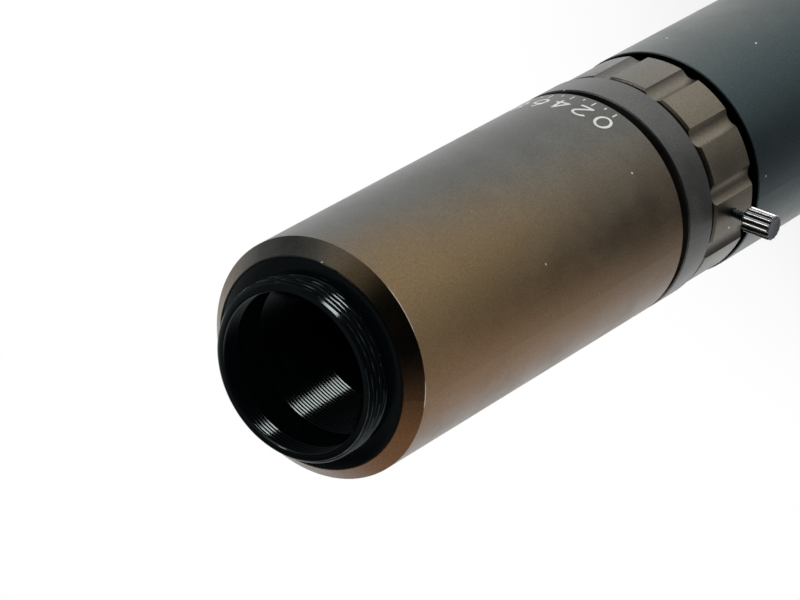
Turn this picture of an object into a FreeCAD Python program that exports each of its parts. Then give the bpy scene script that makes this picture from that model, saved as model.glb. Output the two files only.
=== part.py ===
import FreeCAD, Part
import math
import os
import re
import Sketcher
from FreeCAD import Placement, Rotation, Vector

# Telecentric lens with a lockable iris ring.
# The origin is the centre of the camera flange, +Z points along the optical axis
# to the camera, and the object end is at the negative end of Z.
# Millimetres and degrees.

# Driving sizes
SIZES = {
    # Outside, in order from the camera flange to the object end
    "barrel_radius": 17.0,
    "rear_barrel_length": 64.9,
    "groove_width": 1.6,
    "band_width": 6.25,
    "rear_gap": 1.1,
    "grip_width": 10.15,
    "front_gap": 1.25,
    "front_barrel_length": 74.75,
    "front_chamfer": 0.8,
    "edge_break": 0.2,
    # Camera mount
    "mount_thread_radius": 12.7,
    "mount_thread_length": 4.0,
    "mount_lead": 0.5,
    "mount_wall": 1.45,
    "mount_flange_width": 2.05,
    "mount_flange_depth": 3.0,
    "mount_flange_step": 1.35,
    "mount_land": 0.2,
    "mount_stem_depth": 22.5,
    # Fits
    "thread_clearance": 0.05,
    "running_clearance": 0.05,
    "axial_play": 0.05,
    "lens_clearance": 0.1,
    "cement_gap": 0.02,
    "lock_tip_gap": 0.02,
    # Walls and steps of the barrels and the iris housing, each from the surface outside it
    "rear_socket_wall": 1.65,
    "rear_socket_depth": 8.0,
    "nose_step": 1.4,
    "journal_wall": 1.6,
    "light_bore_step": 0.75,
    "front_spigot_step": 0.55,
    "front_spigot_length": 9.0,
    "front_socket_relief": 0.5,
    "iris_seat_thickness": 1.2,
    # Grip ring
    "grip_inset": 0.2,
    "grip_wall": 2.6,
    "grip_edge": 0.3,
    "scallop_count": 12,
    "scallop_depth": 0.8,
    "scallop_radius": 1.95,
    "iris_turn": 40.0,
    # Iris, with insets from the bore that it sits in
    "blade_inset": 5.25,
    "pivot_inset": 1.65,
    "stop_overlap": 0.1,
    "plate_thickness": 1.0,
    "blade_count": 8,
    "blade_thickness": 0.1,
    "blade_pitch": 0.13,
    "blade_play": 0.065,
    "blade_width": 2.6,
    "blade_sweep": 118.0,
    "blade_overhang": 3.0,
    "blade_turn": 33.5,
    "blade_crank": 1.9,
    "blade_ear_radius": 0.65,
    "blade_pin_radius": 0.35,
    "pin_clearance": 0.05,
    "pivot_pin_depth": 0.8,
    "cam_pin_depth": 0.55,
    "cam_bore_step": 0.3,
    "cam_thickness": 2.8,
    "cam_groove_depth": 0.7,
    "cam_groove_points": 9,
    "cam_hole_height": 1.1,
    "iris_ring_thickness": 1.8,
    "iris_ring_step": 0.9,
    # Screws
    "dog_radius": 0.6,
    "dog_reach": 1.4,
    "drive_thread_radius": 0.8,
    "drive_body_length": 1.6,
    "drive_slot_width": 0.3,
    "drive_slot_depth": 0.4,
    "lock_thread_radius": 0.8,
    "lock_pad_length": 0.8,
    "lock_pad_inset": 0.05,
    "lock_exposed_length": 2.3,
    "lock_head_radius": 1.9,
    "lock_head_length": 4.45,
    "lock_head_edge": 0.2,
    "flute_count": 14,
    "flute_radius": 0.26,
    # Lens groups, with walls from the outside of the barrel
    "ring_thickness": 3.0,
    "spanner_slot_width": 1.5,
    "spanner_slot_depth": 1.0,
    "lens_bevel": 0.3,
    "rear_rib_gap": 0.5,
    "rear_rib_width": 3.0,
    "rear_rib_step": 1.1,
    "rear_bore_wall": 4.4,
    "rear_flint_centre": 1.8,
    "rear_cement_curve": 30.0,
    "rear_crown_centre": 6.0,
    "rear_crown_curve": 45.0,
    "rear_spacer_length": 4.0,
    "rear_spacer_wall": 1.0,
    "meniscus_hollow_curve": 50.0,
    "meniscus_centre": 3.5,
    "meniscus_curve": 32.0,
    "rear_ring_wall": 1.3,
    "middle_seat_depth": 26.75,
    "middle_rib_width": 2.0,
    "middle_rib_step": 0.9,
    "middle_bore_wall": 4.0,
    "middle_lens_centre": 4.5,
    "middle_lens_curve": 48.0,
    "middle_ring_wall": 1.2,
    "front_seat_depth": 16.0,
    "front_tube_wall": 3.4,
    "front_bore_wall": 2.0,
    "front_flint_centre": 2.5,
    "front_cement_curve": 42.0,
    "front_crown_centre": 7.0,
    "front_crown_curve": 55.0,
    "front_ring_wall": 1.6,
}


def sag(curve, height):
    """The depth of a spherical surface at a height from the axis, as an expression."""
    return f"({curve} - sqrt({curve} ^ 2 - ({height}) ^ 2))"


# Radii of the camera mount, from its thread, and what is left of the barrel's end for the chamfer
MOUNT_BORE = "(mount_thread_radius - mount_wall)"
FLANGE_RADIUS = "(mount_thread_radius + mount_flange_width)"
STEM_RADIUS = f"({FLANGE_RADIUS} - mount_flange_step)"
FLANGE_SEAT = f"({FLANGE_RADIUS} + thread_clearance)"
REAR_CHAMFER = f"(barrel_radius - {FLANGE_SEAT} - mount_land)"

# Radii of the rest, worked inward from the barrel by walls, steps and fits
REAR_SOCKET = "(barrel_radius - rear_socket_wall)"
REAR_SPIGOT = f"({REAR_SOCKET} - thread_clearance)"
NOSE_RADIUS = "(barrel_radius - nose_step)"
GRIP_RADIUS = "(barrel_radius - grip_inset)"
GRIP_BORE = f"({GRIP_RADIUS} - grip_wall)"
JOURNAL_RADIUS = f"({GRIP_BORE} - running_clearance)"
FRONT_SPIGOT = f"({JOURNAL_RADIUS} - front_spigot_step)"
IRIS_BORE = f"({JOURNAL_RADIUS} - journal_wall)"
LIGHT_BORE = f"({IRIS_BORE} - light_bore_step)"

PLATE_RADIUS = f"({IRIS_BORE} - thread_clearance)"
CAM_RADIUS = f"({IRIS_BORE} - running_clearance)"
BLADE_INNER = f"({IRIS_BORE} - blade_inset)"
PIVOT_CIRCLE = f"({IRIS_BORE} - pivot_inset)"
STOP_RADIUS = f"({BLADE_INNER} - stop_overlap)"
CAM_BORE = f"({BLADE_INNER} + cam_bore_step)"
IRIS_RING_BORE = f"({CAM_BORE} + iris_ring_step)"

DOG_TIP = f"({PIVOT_CIRCLE} - dog_reach)"
DRIVE_SHOULDER = f"({GRIP_BORE} + running_clearance)"
DRIVE_END = f"({DRIVE_SHOULDER} + drive_body_length)"
DRIVE_SLOT_HALF = "(dog_radius + running_clearance)"
LOCK_HOLE_RADIUS = "(lock_thread_radius + thread_clearance)"
LOCK_PAD_END = f"({GRIP_BORE} + lock_pad_length)"
LOCK_TIP = f"({LOCK_PAD_END} + lock_tip_gap)"
LOCK_HEAD_BASE = f"({GRIP_RADIUS} + lock_exposed_length)"

REAR_BORE = "(barrel_radius - rear_bore_wall)"
REAR_LENS_RADIUS = f"({REAR_BORE} - lens_clearance)"
REAR_RIB_RADIUS = f"({REAR_LENS_RADIUS} - rear_rib_step)"
MIDDLE_BORE = "(barrel_radius - middle_bore_wall)"
MIDDLE_LENS_RADIUS = f"({MIDDLE_BORE} - lens_clearance)"
MIDDLE_RIB_RADIUS = f"({MIDDLE_LENS_RADIUS} - middle_rib_step)"
FRONT_BORE = "(barrel_radius - front_bore_wall)"
FRONT_LENS_RADIUS = f"({FRONT_BORE} - lens_clearance)"
FRONT_TUBE_RADIUS = "(barrel_radius - front_tube_wall)"

# Heights along the axis, worked out from the driving sizes
BARREL_FRONT = "(-rear_barrel_length)"
BAND_REAR = f"({BARREL_FRONT} - groove_width)"
BAND_FRONT = f"({BAND_REAR} - band_width)"
GRIP_REAR = f"({BAND_FRONT} - rear_gap)"
GRIP_FRONT = f"({GRIP_REAR} - grip_width)"
FRONT_BARREL_REAR = f"({GRIP_FRONT} - front_gap)"
FRONT_FACE = f"({FRONT_BARREL_REAR} - front_barrel_length)"
IRIS_PLANE = f"({GRIP_REAR} - grip_width / 2)"
JOURNAL_REAR = f"({GRIP_REAR} + axial_play)"
JOURNAL_FRONT = f"({GRIP_FRONT} - axial_play)"
REAR_SOCKET_END = f"({BARREL_FRONT} + rear_socket_depth)"
FRONT_SPIGOT_END = f"({JOURNAL_FRONT} - front_spigot_length)"
FRONT_SOCKET_END = f"({FRONT_SPIGOT_END} - front_socket_relief)"

CAM_FRONT = f"({IRIS_PLANE} - cam_hole_height)"
CAM_REAR = f"({CAM_FRONT} + cam_thickness)"
PLATE_FRONT = f"({CAM_REAR} + blade_play + blade_count * blade_pitch)"
PLATE_REAR = f"({PLATE_FRONT} + plate_thickness)"
IRIS_RING_REAR = f"({CAM_FRONT} - axial_play)"

RIB_REAR = "(-mount_stem_depth - rear_rib_gap)"
REAR_SEAT = f"({RIB_REAR} - rear_rib_width)"
REAR_CEMENT = f"({REAR_SEAT} - rear_flint_centre)"
REAR_CROWN_REAR = f"({REAR_CEMENT} - cement_gap)"
REAR_CROWN_FRONT = f"({REAR_CROWN_REAR} - rear_crown_centre)"
REAR_SPACER_BORE = f"({REAR_LENS_RADIUS} - rear_spacer_wall)"
REAR_SPACER_REAR = f"({REAR_CROWN_FRONT} + {sag('rear_crown_curve', REAR_SPACER_BORE)})"
REAR_SPACER_FRONT = f"({REAR_SPACER_REAR} - rear_spacer_length)"
REAR_LENS_EDGE = f"({REAR_LENS_RADIUS} - lens_bevel)"
MENISCUS_HOLLOW = f"({REAR_SPACER_FRONT} - {sag('meniscus_hollow_curve', REAR_LENS_EDGE)})"
MENISCUS_FRONT = f"({MENISCUS_HOLLOW} - meniscus_centre)"
REAR_RING_BORE = f"({REAR_LENS_RADIUS} - rear_ring_wall)"
REAR_RING_REAR = f"({MENISCUS_FRONT} + {sag('meniscus_curve', REAR_RING_BORE)})"

MIDDLE_SEAT = f"({FRONT_BARREL_REAR} - middle_seat_depth)"
MIDDLE_LENS_REAR = f"({MIDDLE_SEAT} + middle_lens_centre)"
MIDDLE_RING_BORE = f"({MIDDLE_LENS_RADIUS} - middle_ring_wall)"
MIDDLE_RING_FRONT = f"({MIDDLE_LENS_REAR} - {sag('middle_lens_curve', MIDDLE_RING_BORE)})"

FRONT_SEAT = f"({FRONT_FACE} + front_seat_depth)"
FRONT_CEMENT = f"({FRONT_SEAT} - front_flint_centre)"
FRONT_CROWN_REAR = f"({FRONT_CEMENT} - cement_gap)"
FRONT_CROWN_FRONT = f"({FRONT_CROWN_REAR} - front_crown_centre)"
FRONT_RING_BORE = f"({FRONT_LENS_RADIUS} - front_ring_wall)"
FRONT_RING_REAR = f"({FRONT_CROWN_FRONT} + {sag('front_crown_curve', FRONT_RING_BORE)})"

# Where a sketch's lines stand before their sizes place them
DRAFT_CENTRE = 20
DRAFT_SPREAD = 10

document = FreeCAD.newDocument("TelecentricLens")
node_objects = []


def make_sheet():
    """Writes the driving sizes to a spreadsheet, each under its own alias."""
    sheet = document.addObject("Spreadsheet::Sheet", "Sizes")
    for row, (name, number) in enumerate(SIZES.items(), start=1):
        sheet.set(f"A{row}", name)
        sheet.set(f"B{row}", str(number))
        sheet.setAlias(f"B{row}", name)
    document.recompute()
    return sheet


sizes = make_sheet()


def bound(text):
    """The expression with each size named as a cell of the sheet."""
    return re.sub(r"[a-z_]+", lambda word: f"Sizes.{word[0]}" if word[0] in SIZES else word[0], str(text))


def bind(item, **expressions):
    """Ties properties of an object to expressions; a double underscore stands for a dot."""
    for name, text in expressions.items():
        item.setExpression(name.replace("__", "."), bound(text))


def new_body(label, is_node=True):
    """A body with a label of its own."""
    body = document.addObject("PartDesign::Body", label)
    body.Label = label
    if is_node:
        node_objects.append(body)
    return body


def origin_plane(body, role):
    """The body's own origin plane of that role."""
    return next(item for item in body.Origin.OriginFeatures if item.Role == role)


def new_sketch(body, role, offset=None):
    """A sketch on an origin plane, moved along the plane's normal by an expression."""
    sketch = body.newObject("Sketcher::SketchObject", f"{body.Label}_sketch")
    sketch.AttachmentSupport = [(origin_plane(body, role), "")]
    sketch.MapMode = "FlatFace"
    if offset is not None:
        bind(sketch, AttachmentOffset__Base__z=offset)
    return sketch


def draw_outline(sketch, corners):
    """Draws a closed outline of straight lines, each corner tied to two expressions."""
    count = len(corners)
    turns = [2 * math.pi * index / count for index in range(count)]
    places = [
        Vector(DRAFT_CENTRE + DRAFT_SPREAD * math.cos(turn), DRAFT_SPREAD * math.sin(turn), 0)
        for turn in turns
    ]
    lines = [Part.LineSegment(places[index], places[(index + 1) % count]) for index in range(count)]
    sketch.addGeometry(lines, False)
    joins = [
        Sketcher.Constraint("Coincident", index, 2, (index + 1) % count, 1)
        for index in range(count)
    ]
    sketch.addConstraint(joins)
    for index, corner in enumerate(corners):
        for kind, start, text in zip(("DistanceX", "DistanceY"), places[index], corner):
            number = sketch.addConstraint(Sketcher.Constraint(kind, -1, 1, index, 1, start))
            sketch.setExpression(f"Constraints[{number}]", bound(text))


def draw_circle(sketch, across, up, radius):
    """Draws a circle whose centre and radius are tied to expressions."""
    draft = Part.Circle(Vector(DRAFT_CENTRE, DRAFT_CENTRE, 0), Vector(0, 0, 1), 1)
    circle = sketch.addGeometry(draft, False)
    for kind, text in (("DistanceX", across), ("DistanceY", up)):
        number = sketch.addConstraint(Sketcher.Constraint(kind, -1, 1, circle, 3, DRAFT_CENTRE))
        sketch.setExpression(f"Constraints[{number}]", bound(text))
    number = sketch.addConstraint(Sketcher.Constraint("Radius", circle, 1))
    sketch.setExpression(f"Constraints[{number}]", bound(radius))


def revolve(body, corners, axis="V_Axis"):
    """Turns an outline about an axis of its sketch, which is the optical axis if none is named."""
    sketch = new_sketch(body, "XZ_Plane")
    draw_outline(sketch, corners)
    turned = body.newObject("PartDesign::Revolution", f"{body.Label}_turned")
    turned.Profile = sketch
    turned.ReferenceAxis = (sketch, [axis])
    turned.Angle = 360
    document.recompute()


def check_cut(body, before):
    """Stops the build if a cut took nothing away."""
    if body.Shape.Volume >= before:
        raise RuntimeError(f"a cut in {body.Label} removes nothing")


def pocket(body, sketch, depth=None, forward=False):
    """Cuts a sketch out of the body against its normal, or along it if forward is set."""
    before = body.Shape.Volume
    cut = body.newObject("PartDesign::Pocket", f"{body.Label}_cut")
    cut.Profile = sketch
    cut.Reversed = forward
    if depth is None:
        cut.Type = 1
    else:
        bind(cut, Length=depth)
    document.recompute()
    check_cut(body, before)
    return cut


def repeat_around(body, feature, sketch, axis, count, angle="360"):
    """Repeats a feature around an axis of its sketch."""
    before = body.Shape.Volume
    pattern = body.newObject("PartDesign::PolarPattern", f"{body.Label}_pattern")
    pattern.Originals = [feature]
    pattern.Axis = (sketch, [axis])
    bind(pattern, Angle=angle, Occurrences=count)
    body.Tip = pattern
    document.recompute()
    check_cut(body, before)


def cut_spanner_slot(body, face, forward):
    """Cuts one slot for a pin spanner across the ring's end face."""
    sketch = new_sketch(body, "XY_Plane", face)
    half = "spanner_slot_width / 2"
    draw_outline(sketch, [
        ("barrel_radius", f"-{half}"),
        ("barrel_radius", half),
        ("-barrel_radius", half),
        ("-barrel_radius", f"-{half}"),
    ])
    pocket(body, sketch, "spanner_slot_depth", forward)


def plain_ring(label, bore, radius, low, high, is_node=True):
    """A turned ring with square edges."""
    body = new_body(label, is_node)
    revolve(body, [(bore, low), (radius, low), (radius, high), (bore, high)])
    return body


# Barrels and camera mount
def make_rear_barrel():
    """The long rear barrel, with a seat for the mount, a rib for the lenses and a socket in front."""
    body = new_body("rear_barrel")
    stem_bore = f"({STEM_RADIUS} + thread_clearance)"
    revolve(body, [
        (FLANGE_SEAT, "0"),
        (f"{FLANGE_SEAT} + mount_land", "0"),
        ("barrel_radius", f"-{REAR_CHAMFER}"),
        ("barrel_radius", f"{BARREL_FRONT} + edge_break"),
        ("barrel_radius - edge_break", BARREL_FRONT),
        (REAR_SOCKET, BARREL_FRONT),
        (REAR_SOCKET, REAR_SOCKET_END),
        (REAR_BORE, REAR_SOCKET_END),
        (REAR_BORE, REAR_SEAT),
        (REAR_RIB_RADIUS, REAR_SEAT),
        (REAR_RIB_RADIUS, RIB_REAR),
        (stem_bore, RIB_REAR),
        (stem_bore, "-mount_flange_depth"),
        (FLANGE_SEAT, "-mount_flange_depth"),
    ])


def make_mount_adapter():
    """The camera mount: a flange in the barrel's end, the thread's rim and a long bored stem."""
    body = new_body("c_mount_adapter")
    rim = "mount_thread_length"
    revolve(body, [
        (MOUNT_BORE, "-mount_stem_depth"),
        (STEM_RADIUS, "-mount_stem_depth"),
        (STEM_RADIUS, "-mount_flange_depth"),
        (FLANGE_RADIUS, "-mount_flange_depth"),
        (FLANGE_RADIUS, "0"),
        ("mount_thread_radius", "0"),
        ("mount_thread_radius", f"{rim} - mount_lead"),
        ("mount_thread_radius - mount_lead", rim),
        (MOUNT_BORE, rim),
    ])


def make_front_barrel():
    """The front barrel: lens seats at both ends and the nose that keeps the grip ring in place."""
    body = new_body("front_barrel")
    socket = f"({FRONT_SPIGOT} + thread_clearance)"
    middle_rib_front = f"({MIDDLE_SEAT} - middle_rib_width)"
    revolve(body, [
        (socket, JOURNAL_FRONT),
        (NOSE_RADIUS, JOURNAL_FRONT),
        (NOSE_RADIUS, FRONT_BARREL_REAR),
        ("barrel_radius - edge_break", FRONT_BARREL_REAR),
        ("barrel_radius", f"{FRONT_BARREL_REAR} - edge_break"),
        ("barrel_radius", f"{FRONT_FACE} + front_chamfer"),
        ("barrel_radius - front_chamfer", FRONT_FACE),
        (FRONT_BORE, FRONT_FACE),
        (FRONT_BORE, FRONT_SEAT),
        (FRONT_TUBE_RADIUS, FRONT_SEAT),
        (FRONT_TUBE_RADIUS, middle_rib_front),
        (MIDDLE_RIB_RADIUS, middle_rib_front),
        (MIDDLE_RIB_RADIUS, MIDDLE_SEAT),
        (MIDDLE_BORE, MIDDLE_SEAT),
        (MIDDLE_BORE, FRONT_SOCKET_END),
        (socket, FRONT_SOCKET_END),
    ])


# Iris housing and the parts that turn on it
def make_iris_housing():
    """The housing: band, journal for the grip ring, iris bore and a spigot at each end."""
    body = new_body("iris_housing")
    seat_rear = f"({PLATE_REAR} + iris_seat_thickness)"
    revolve(body, [
        (LIGHT_BORE, REAR_SOCKET_END),
        (REAR_SPIGOT, REAR_SOCKET_END),
        (REAR_SPIGOT, BAND_REAR),
        ("barrel_radius - edge_break", BAND_REAR),
        ("barrel_radius", f"{BAND_REAR} - edge_break"),
        ("barrel_radius", f"{BAND_FRONT} + edge_break"),
        ("barrel_radius - edge_break", BAND_FRONT),
        (NOSE_RADIUS, BAND_FRONT),
        (NOSE_RADIUS, JOURNAL_REAR),
        (JOURNAL_RADIUS, JOURNAL_REAR),
        (JOURNAL_RADIUS, JOURNAL_FRONT),
        (FRONT_SPIGOT, JOURNAL_FRONT),
        (FRONT_SPIGOT, FRONT_SPIGOT_END),
        (IRIS_BORE, FRONT_SPIGOT_END),
        (IRIS_BORE, PLATE_REAR),
        (CAM_BORE, PLATE_REAR),
        (CAM_BORE, seat_rear),
        (LIGHT_BORE, seat_rear),
    ])
    cut_drive_slot(body)


def cut_drive_slot(body):
    """Cuts the slot that the drive screw runs in, with a round end at each limit of the ring."""
    before = body.Shape.Volume
    inner = f"-({IRIS_BORE} - thread_clearance)"
    outer = f"-({JOURNAL_RADIUS} + thread_clearance)"
    sketch = new_sketch(body, "XZ_Plane")
    draw_outline(sketch, [
        (inner, f"{IRIS_PLANE} - {DRIVE_SLOT_HALF}"),
        (outer, f"{IRIS_PLANE} - {DRIVE_SLOT_HALF}"),
        (outer, f"{IRIS_PLANE} + {DRIVE_SLOT_HALF}"),
        (inner, f"{IRIS_PLANE} + {DRIVE_SLOT_HALF}"),
    ])
    groove = body.newObject("PartDesign::Groove", "drive_slot")
    groove.Profile = sketch
    groove.ReferenceAxis = (sketch, ["V_Axis"])
    bind(groove, Angle="iris_turn")
    document.recompute()
    check_cut(body, before)

    end_sketch = new_sketch(body, "YZ_Plane")
    draw_circle(end_sketch, "0", IRIS_PLANE, DRIVE_SLOT_HALF)
    end = pocket(body, end_sketch, "barrel_radius")
    repeat_around(body, end, end_sketch, "V_Axis", "2", "iris_turn")


def make_grip_ring():
    """The grip ring that opens and closes the iris: scallops all round and two radial screw holes."""
    body = new_body("grip_ring")
    revolve(body, [
        (GRIP_BORE, GRIP_FRONT),
        (f"{GRIP_RADIUS} - grip_edge", GRIP_FRONT),
        (GRIP_RADIUS, f"{GRIP_FRONT} + grip_edge"),
        (GRIP_RADIUS, f"{GRIP_REAR} - grip_edge"),
        (f"{GRIP_RADIUS} - grip_edge", GRIP_REAR),
        (GRIP_BORE, GRIP_REAR),
    ])
    scallop = new_sketch(body, "XY_Plane")
    distance = f"({GRIP_RADIUS} - scallop_depth + scallop_radius)"
    half_step = "180 / scallop_count"
    draw_circle(scallop, f"{distance} * cos({half_step})", f"{distance} * sin({half_step})", "scallop_radius")
    first = pocket(body, scallop)
    repeat_around(body, first, scallop, "N_Axis", "scallop_count")
    for forward in (True, False):
        hole = new_sketch(body, "YZ_Plane")
        draw_circle(hole, "0", IRIS_PLANE, LOCK_HOLE_RADIUS)
        pocket(body, hole, "barrel_radius", forward)


def turned_screw(label, corners):
    """A piece that points along X at the iris plane, from (distance, radius) corners."""
    body = new_body(label)
    revolve(body, corners, "H_Axis")
    bind(body, Placement__Base__z=IRIS_PLANE)
    document.recompute()
    return body


def make_drive_screw():
    """The screw whose plain tip takes the grip ring's turn through the slot to the cam ring."""
    body = turned_screw("drive_screw", [
        (f"-{DOG_TIP}", "0"),
        (f"-{DOG_TIP}", "dog_radius"),
        (f"-{DRIVE_SHOULDER}", "dog_radius"),
        (f"-{DRIVE_SHOULDER}", "drive_thread_radius"),
        (f"-{DRIVE_END}", "drive_thread_radius"),
        (f"-{DRIVE_END}", "0"),
    ])
    sketch = new_sketch(body, "YZ_Plane", f"-{DRIVE_END}")
    half = "drive_slot_width / 2"
    draw_outline(sketch, [
        ("drive_thread_radius", f"-{half}"),
        ("drive_thread_radius", half),
        ("-drive_thread_radius", half),
        ("-drive_thread_radius", f"-{half}"),
    ])
    pocket(body, sketch, "drive_slot_depth", True)


def make_lock_screw():
    """The thumbscrew that locks the grip ring, with a fluted head."""
    head_end = f"({LOCK_HEAD_BASE} + lock_head_length)"
    body = turned_screw("lock_screw", [
        (LOCK_TIP, "0"),
        (LOCK_TIP, "lock_thread_radius"),
        (LOCK_HEAD_BASE, "lock_thread_radius"),
        (LOCK_HEAD_BASE, "lock_head_radius - lock_head_edge"),
        (f"{LOCK_HEAD_BASE} + lock_head_edge", "lock_head_radius"),
        (f"{head_end} - lock_head_edge", "lock_head_radius"),
        (head_end, "lock_head_radius - lock_head_edge"),
        (head_end, "0"),
    ])
    flute = new_sketch(body, "YZ_Plane", head_end)
    draw_circle(flute, "0", "lock_head_radius", "flute_radius")
    first = pocket(body, flute, "lock_head_length")
    repeat_around(body, first, flute, "N_Axis", "flute_count")


def make_lock_pad():
    """The soft pad between the thumbscrew's tip and the journal."""
    turned_screw("lock_pad", [
        (GRIP_BORE, "0"),
        (GRIP_BORE, "lock_thread_radius - lock_pad_inset"),
        (LOCK_PAD_END, "lock_thread_radius - lock_pad_inset"),
        (LOCK_PAD_END, "0"),
    ])


# Iris
def make_base_plate():
    """The fixed plate that the blades pivot in, with the largest stop in its middle."""
    body = plain_ring("iris_base_plate", STOP_RADIUS, PLATE_RADIUS, PLATE_FRONT, PLATE_REAR)
    hole = new_sketch(body, "XY_Plane")
    draw_circle(hole, PIVOT_CIRCLE, "0", "blade_pin_radius + pin_clearance")
    first = pocket(body, hole)
    repeat_around(body, first, hole, "N_Axis", "blade_count")


def inside_iris_bore(inset):
    """A radius of the iris as a number, from its inset from the bore that the iris sits in."""
    grip_bore = sizes.barrel_radius - sizes.grip_inset - sizes.grip_wall
    return grip_bore - sizes.running_clearance - sizes.journal_wall - inset


def crank_pin_place(share):
    """Where a blade's cam pin is, with the iris closed by that share of its turn."""
    angle = math.radians(90 + sizes.blade_turn * (0.5 - share))
    reach = sizes.blade_crank
    pivot_circle = inside_iris_bore(sizes.pivot_inset)
    return Vector(pivot_circle + reach * math.cos(angle), reach * math.sin(angle), 0)


def cam_groove():
    """A groove of the cam ring: the path of a blade's pin as the ring sees it, widened to a slot."""
    half_width = sizes.blade_pin_radius + sizes.pin_clearance
    steps = round(sizes.cam_groove_points) - 1
    path = [
        Rotation(Vector(0, 0, 1), -sizes.iris_turn * step / steps).multVec(crank_pin_place(step / steps))
        for step in range(steps + 1)
    ]
    centre_line = Part.BSplineCurve()
    centre_line.interpolate(path)
    sides = {1: [], -1: []}
    for step in range(steps + 1):
        where = centre_line.parameter(path[step])
        ahead = centre_line.tangent(where)[0]
        across = Vector(-ahead.y, ahead.x, 0)
        for side, points in sides.items():
            points.append(path[step] + across * side * half_width)
    edges = []
    for side, points in sides.items():
        curve = Part.BSplineCurve()
        curve.interpolate(points)
        edges.append(curve.toShape())
    for step, outward in ((0, -1), (steps, 1)):
        ahead = centre_line.tangent(centre_line.parameter(path[step]))[0]
        tip = path[step] + ahead * outward * half_width
        edges.append(Part.Arc(sides[1][step], tip, sides[-1][step]).toShape())
    outline = Part.Wire(Part.__sortEdges__(edges))
    return Part.Face(outline).extrude(Vector(0, 0, sizes.cam_groove_depth + sizes.blade_play))


def make_cam_ring(cam_rear):
    """The ring that drives the blades: one cam groove for each blade and a hole for the drive screw."""
    blank = plain_ring("cam_ring_blank", CAM_BORE, CAM_RADIUS, CAM_FRONT, CAM_REAR, is_node=False)
    hole = new_sketch(blank, "YZ_Plane")
    draw_circle(hole, "0", IRIS_PLANE, "dog_radius + thread_clearance")
    pocket(blank, hole, "barrel_radius")
    groove = cam_groove()
    grooves = document.addObject("Part::Feature", "cam_grooves")
    step = 360 / sizes.blade_count
    grooves.Shape = Part.makeCompound([
        groove.rotated(Vector(0, 0, 0), Vector(0, 0, 1), index * step)
        for index in range(round(sizes.blade_count))
    ])
    grooves.Placement = Placement(Vector(0, 0, cam_rear - sizes.cam_groove_depth), Rotation())
    ring = document.addObject("Part::Cut", "cam_ring")
    ring.Label = "cam_ring"
    ring.Base = blank
    ring.Tool = grooves
    node_objects.append(ring)
    document.recompute()


def blade_outline():
    """The blade's flat shape: a curved band, an ear for both pins and the neck between them."""
    inner = inside_iris_bore(sizes.blade_inset)
    outer = inner + sizes.blade_width
    up = Vector(0, 0, 1)
    centre = Vector(0, 0, 0)
    first = -sizes.blade_sweep
    last = sizes.blade_overhang
    inner_arc = Part.makeCircle(inner, centre, up, first, last)
    outer_arc = Part.makeCircle(outer, centre, up, first, last)
    tip = Part.makeLine(inner_arc.valueAt(inner_arc.FirstParameter), outer_arc.valueAt(outer_arc.FirstParameter))
    heel = Part.makeLine(inner_arc.valueAt(inner_arc.LastParameter), outer_arc.valueAt(outer_arc.LastParameter))
    band = Part.Face(Part.Wire(Part.__sortEdges__([inner_arc, tip, outer_arc, heel])))

    pivot = Vector(inside_iris_bore(sizes.pivot_inset), 0, 0)
    crank = crank_pin_place(0)
    ear = sizes.blade_ear_radius
    along = (crank - pivot).normalize()
    across = Vector(-along.y, along.x, 0) * ear
    link = Part.Face(Part.makePolygon([
        pivot + across, crank + across, crank - across, pivot - across, pivot + across,
    ]))
    middle = (inner + outer) / 2
    neck = Part.Face(Part.makePolygon([
        Vector(middle, -ear, 0), Vector(pivot.x, -ear, 0), Vector(pivot.x, ear, 0), Vector(middle, ear, 0),
        Vector(middle, -ear, 0),
    ]))
    lobes = [Part.Face(Part.Wire(Part.makeCircle(ear, place, up))) for place in (pivot, crank)]
    return band.fuse([link, neck] + lobes).removeSplitter(), pivot, crank


def make_blades(plate_front, cam_rear):
    """The blades, each one layer further from the base plate than the last."""
    outline, pivot, crank = blade_outline()
    step = 360 / sizes.blade_count
    for index in range(round(sizes.blade_count)):
        rear = plate_front - sizes.blade_pitch * (index + 1) + sizes.blade_thickness
        front = rear - sizes.blade_thickness
        sheet_metal = outline.extrude(Vector(0, 0, sizes.blade_thickness)).translated(Vector(0, 0, front))
        pivot_pin = Part.makeCylinder(
            sizes.blade_pin_radius,
            plate_front + sizes.pivot_pin_depth - front,
            Vector(pivot.x, pivot.y, front),
        )
        cam_pin_end = cam_rear - sizes.cam_pin_depth
        cam_pin = Part.makeCylinder(
            sizes.blade_pin_radius,
            rear - cam_pin_end,
            Vector(crank.x, crank.y, cam_pin_end),
        )
        blade = document.addObject("Part::Feature", f"iris_blade_{index + 1}")
        blade.Label = f"iris_blade_{index + 1}"
        blade.Shape = sheet_metal.fuse([pivot_pin, cam_pin]).removeSplitter()
        blade.Placement = Placement(Vector(0, 0, 0), Rotation(Vector(0, 0, 1), index * step))
        node_objects.append(blade)


# Lenses
def solid_part(kind, label, **expressions):
    """A plain solid with its sizes and place tied to expressions."""
    item = document.addObject(kind, label)
    bind(item, **expressions)
    return item


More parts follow.
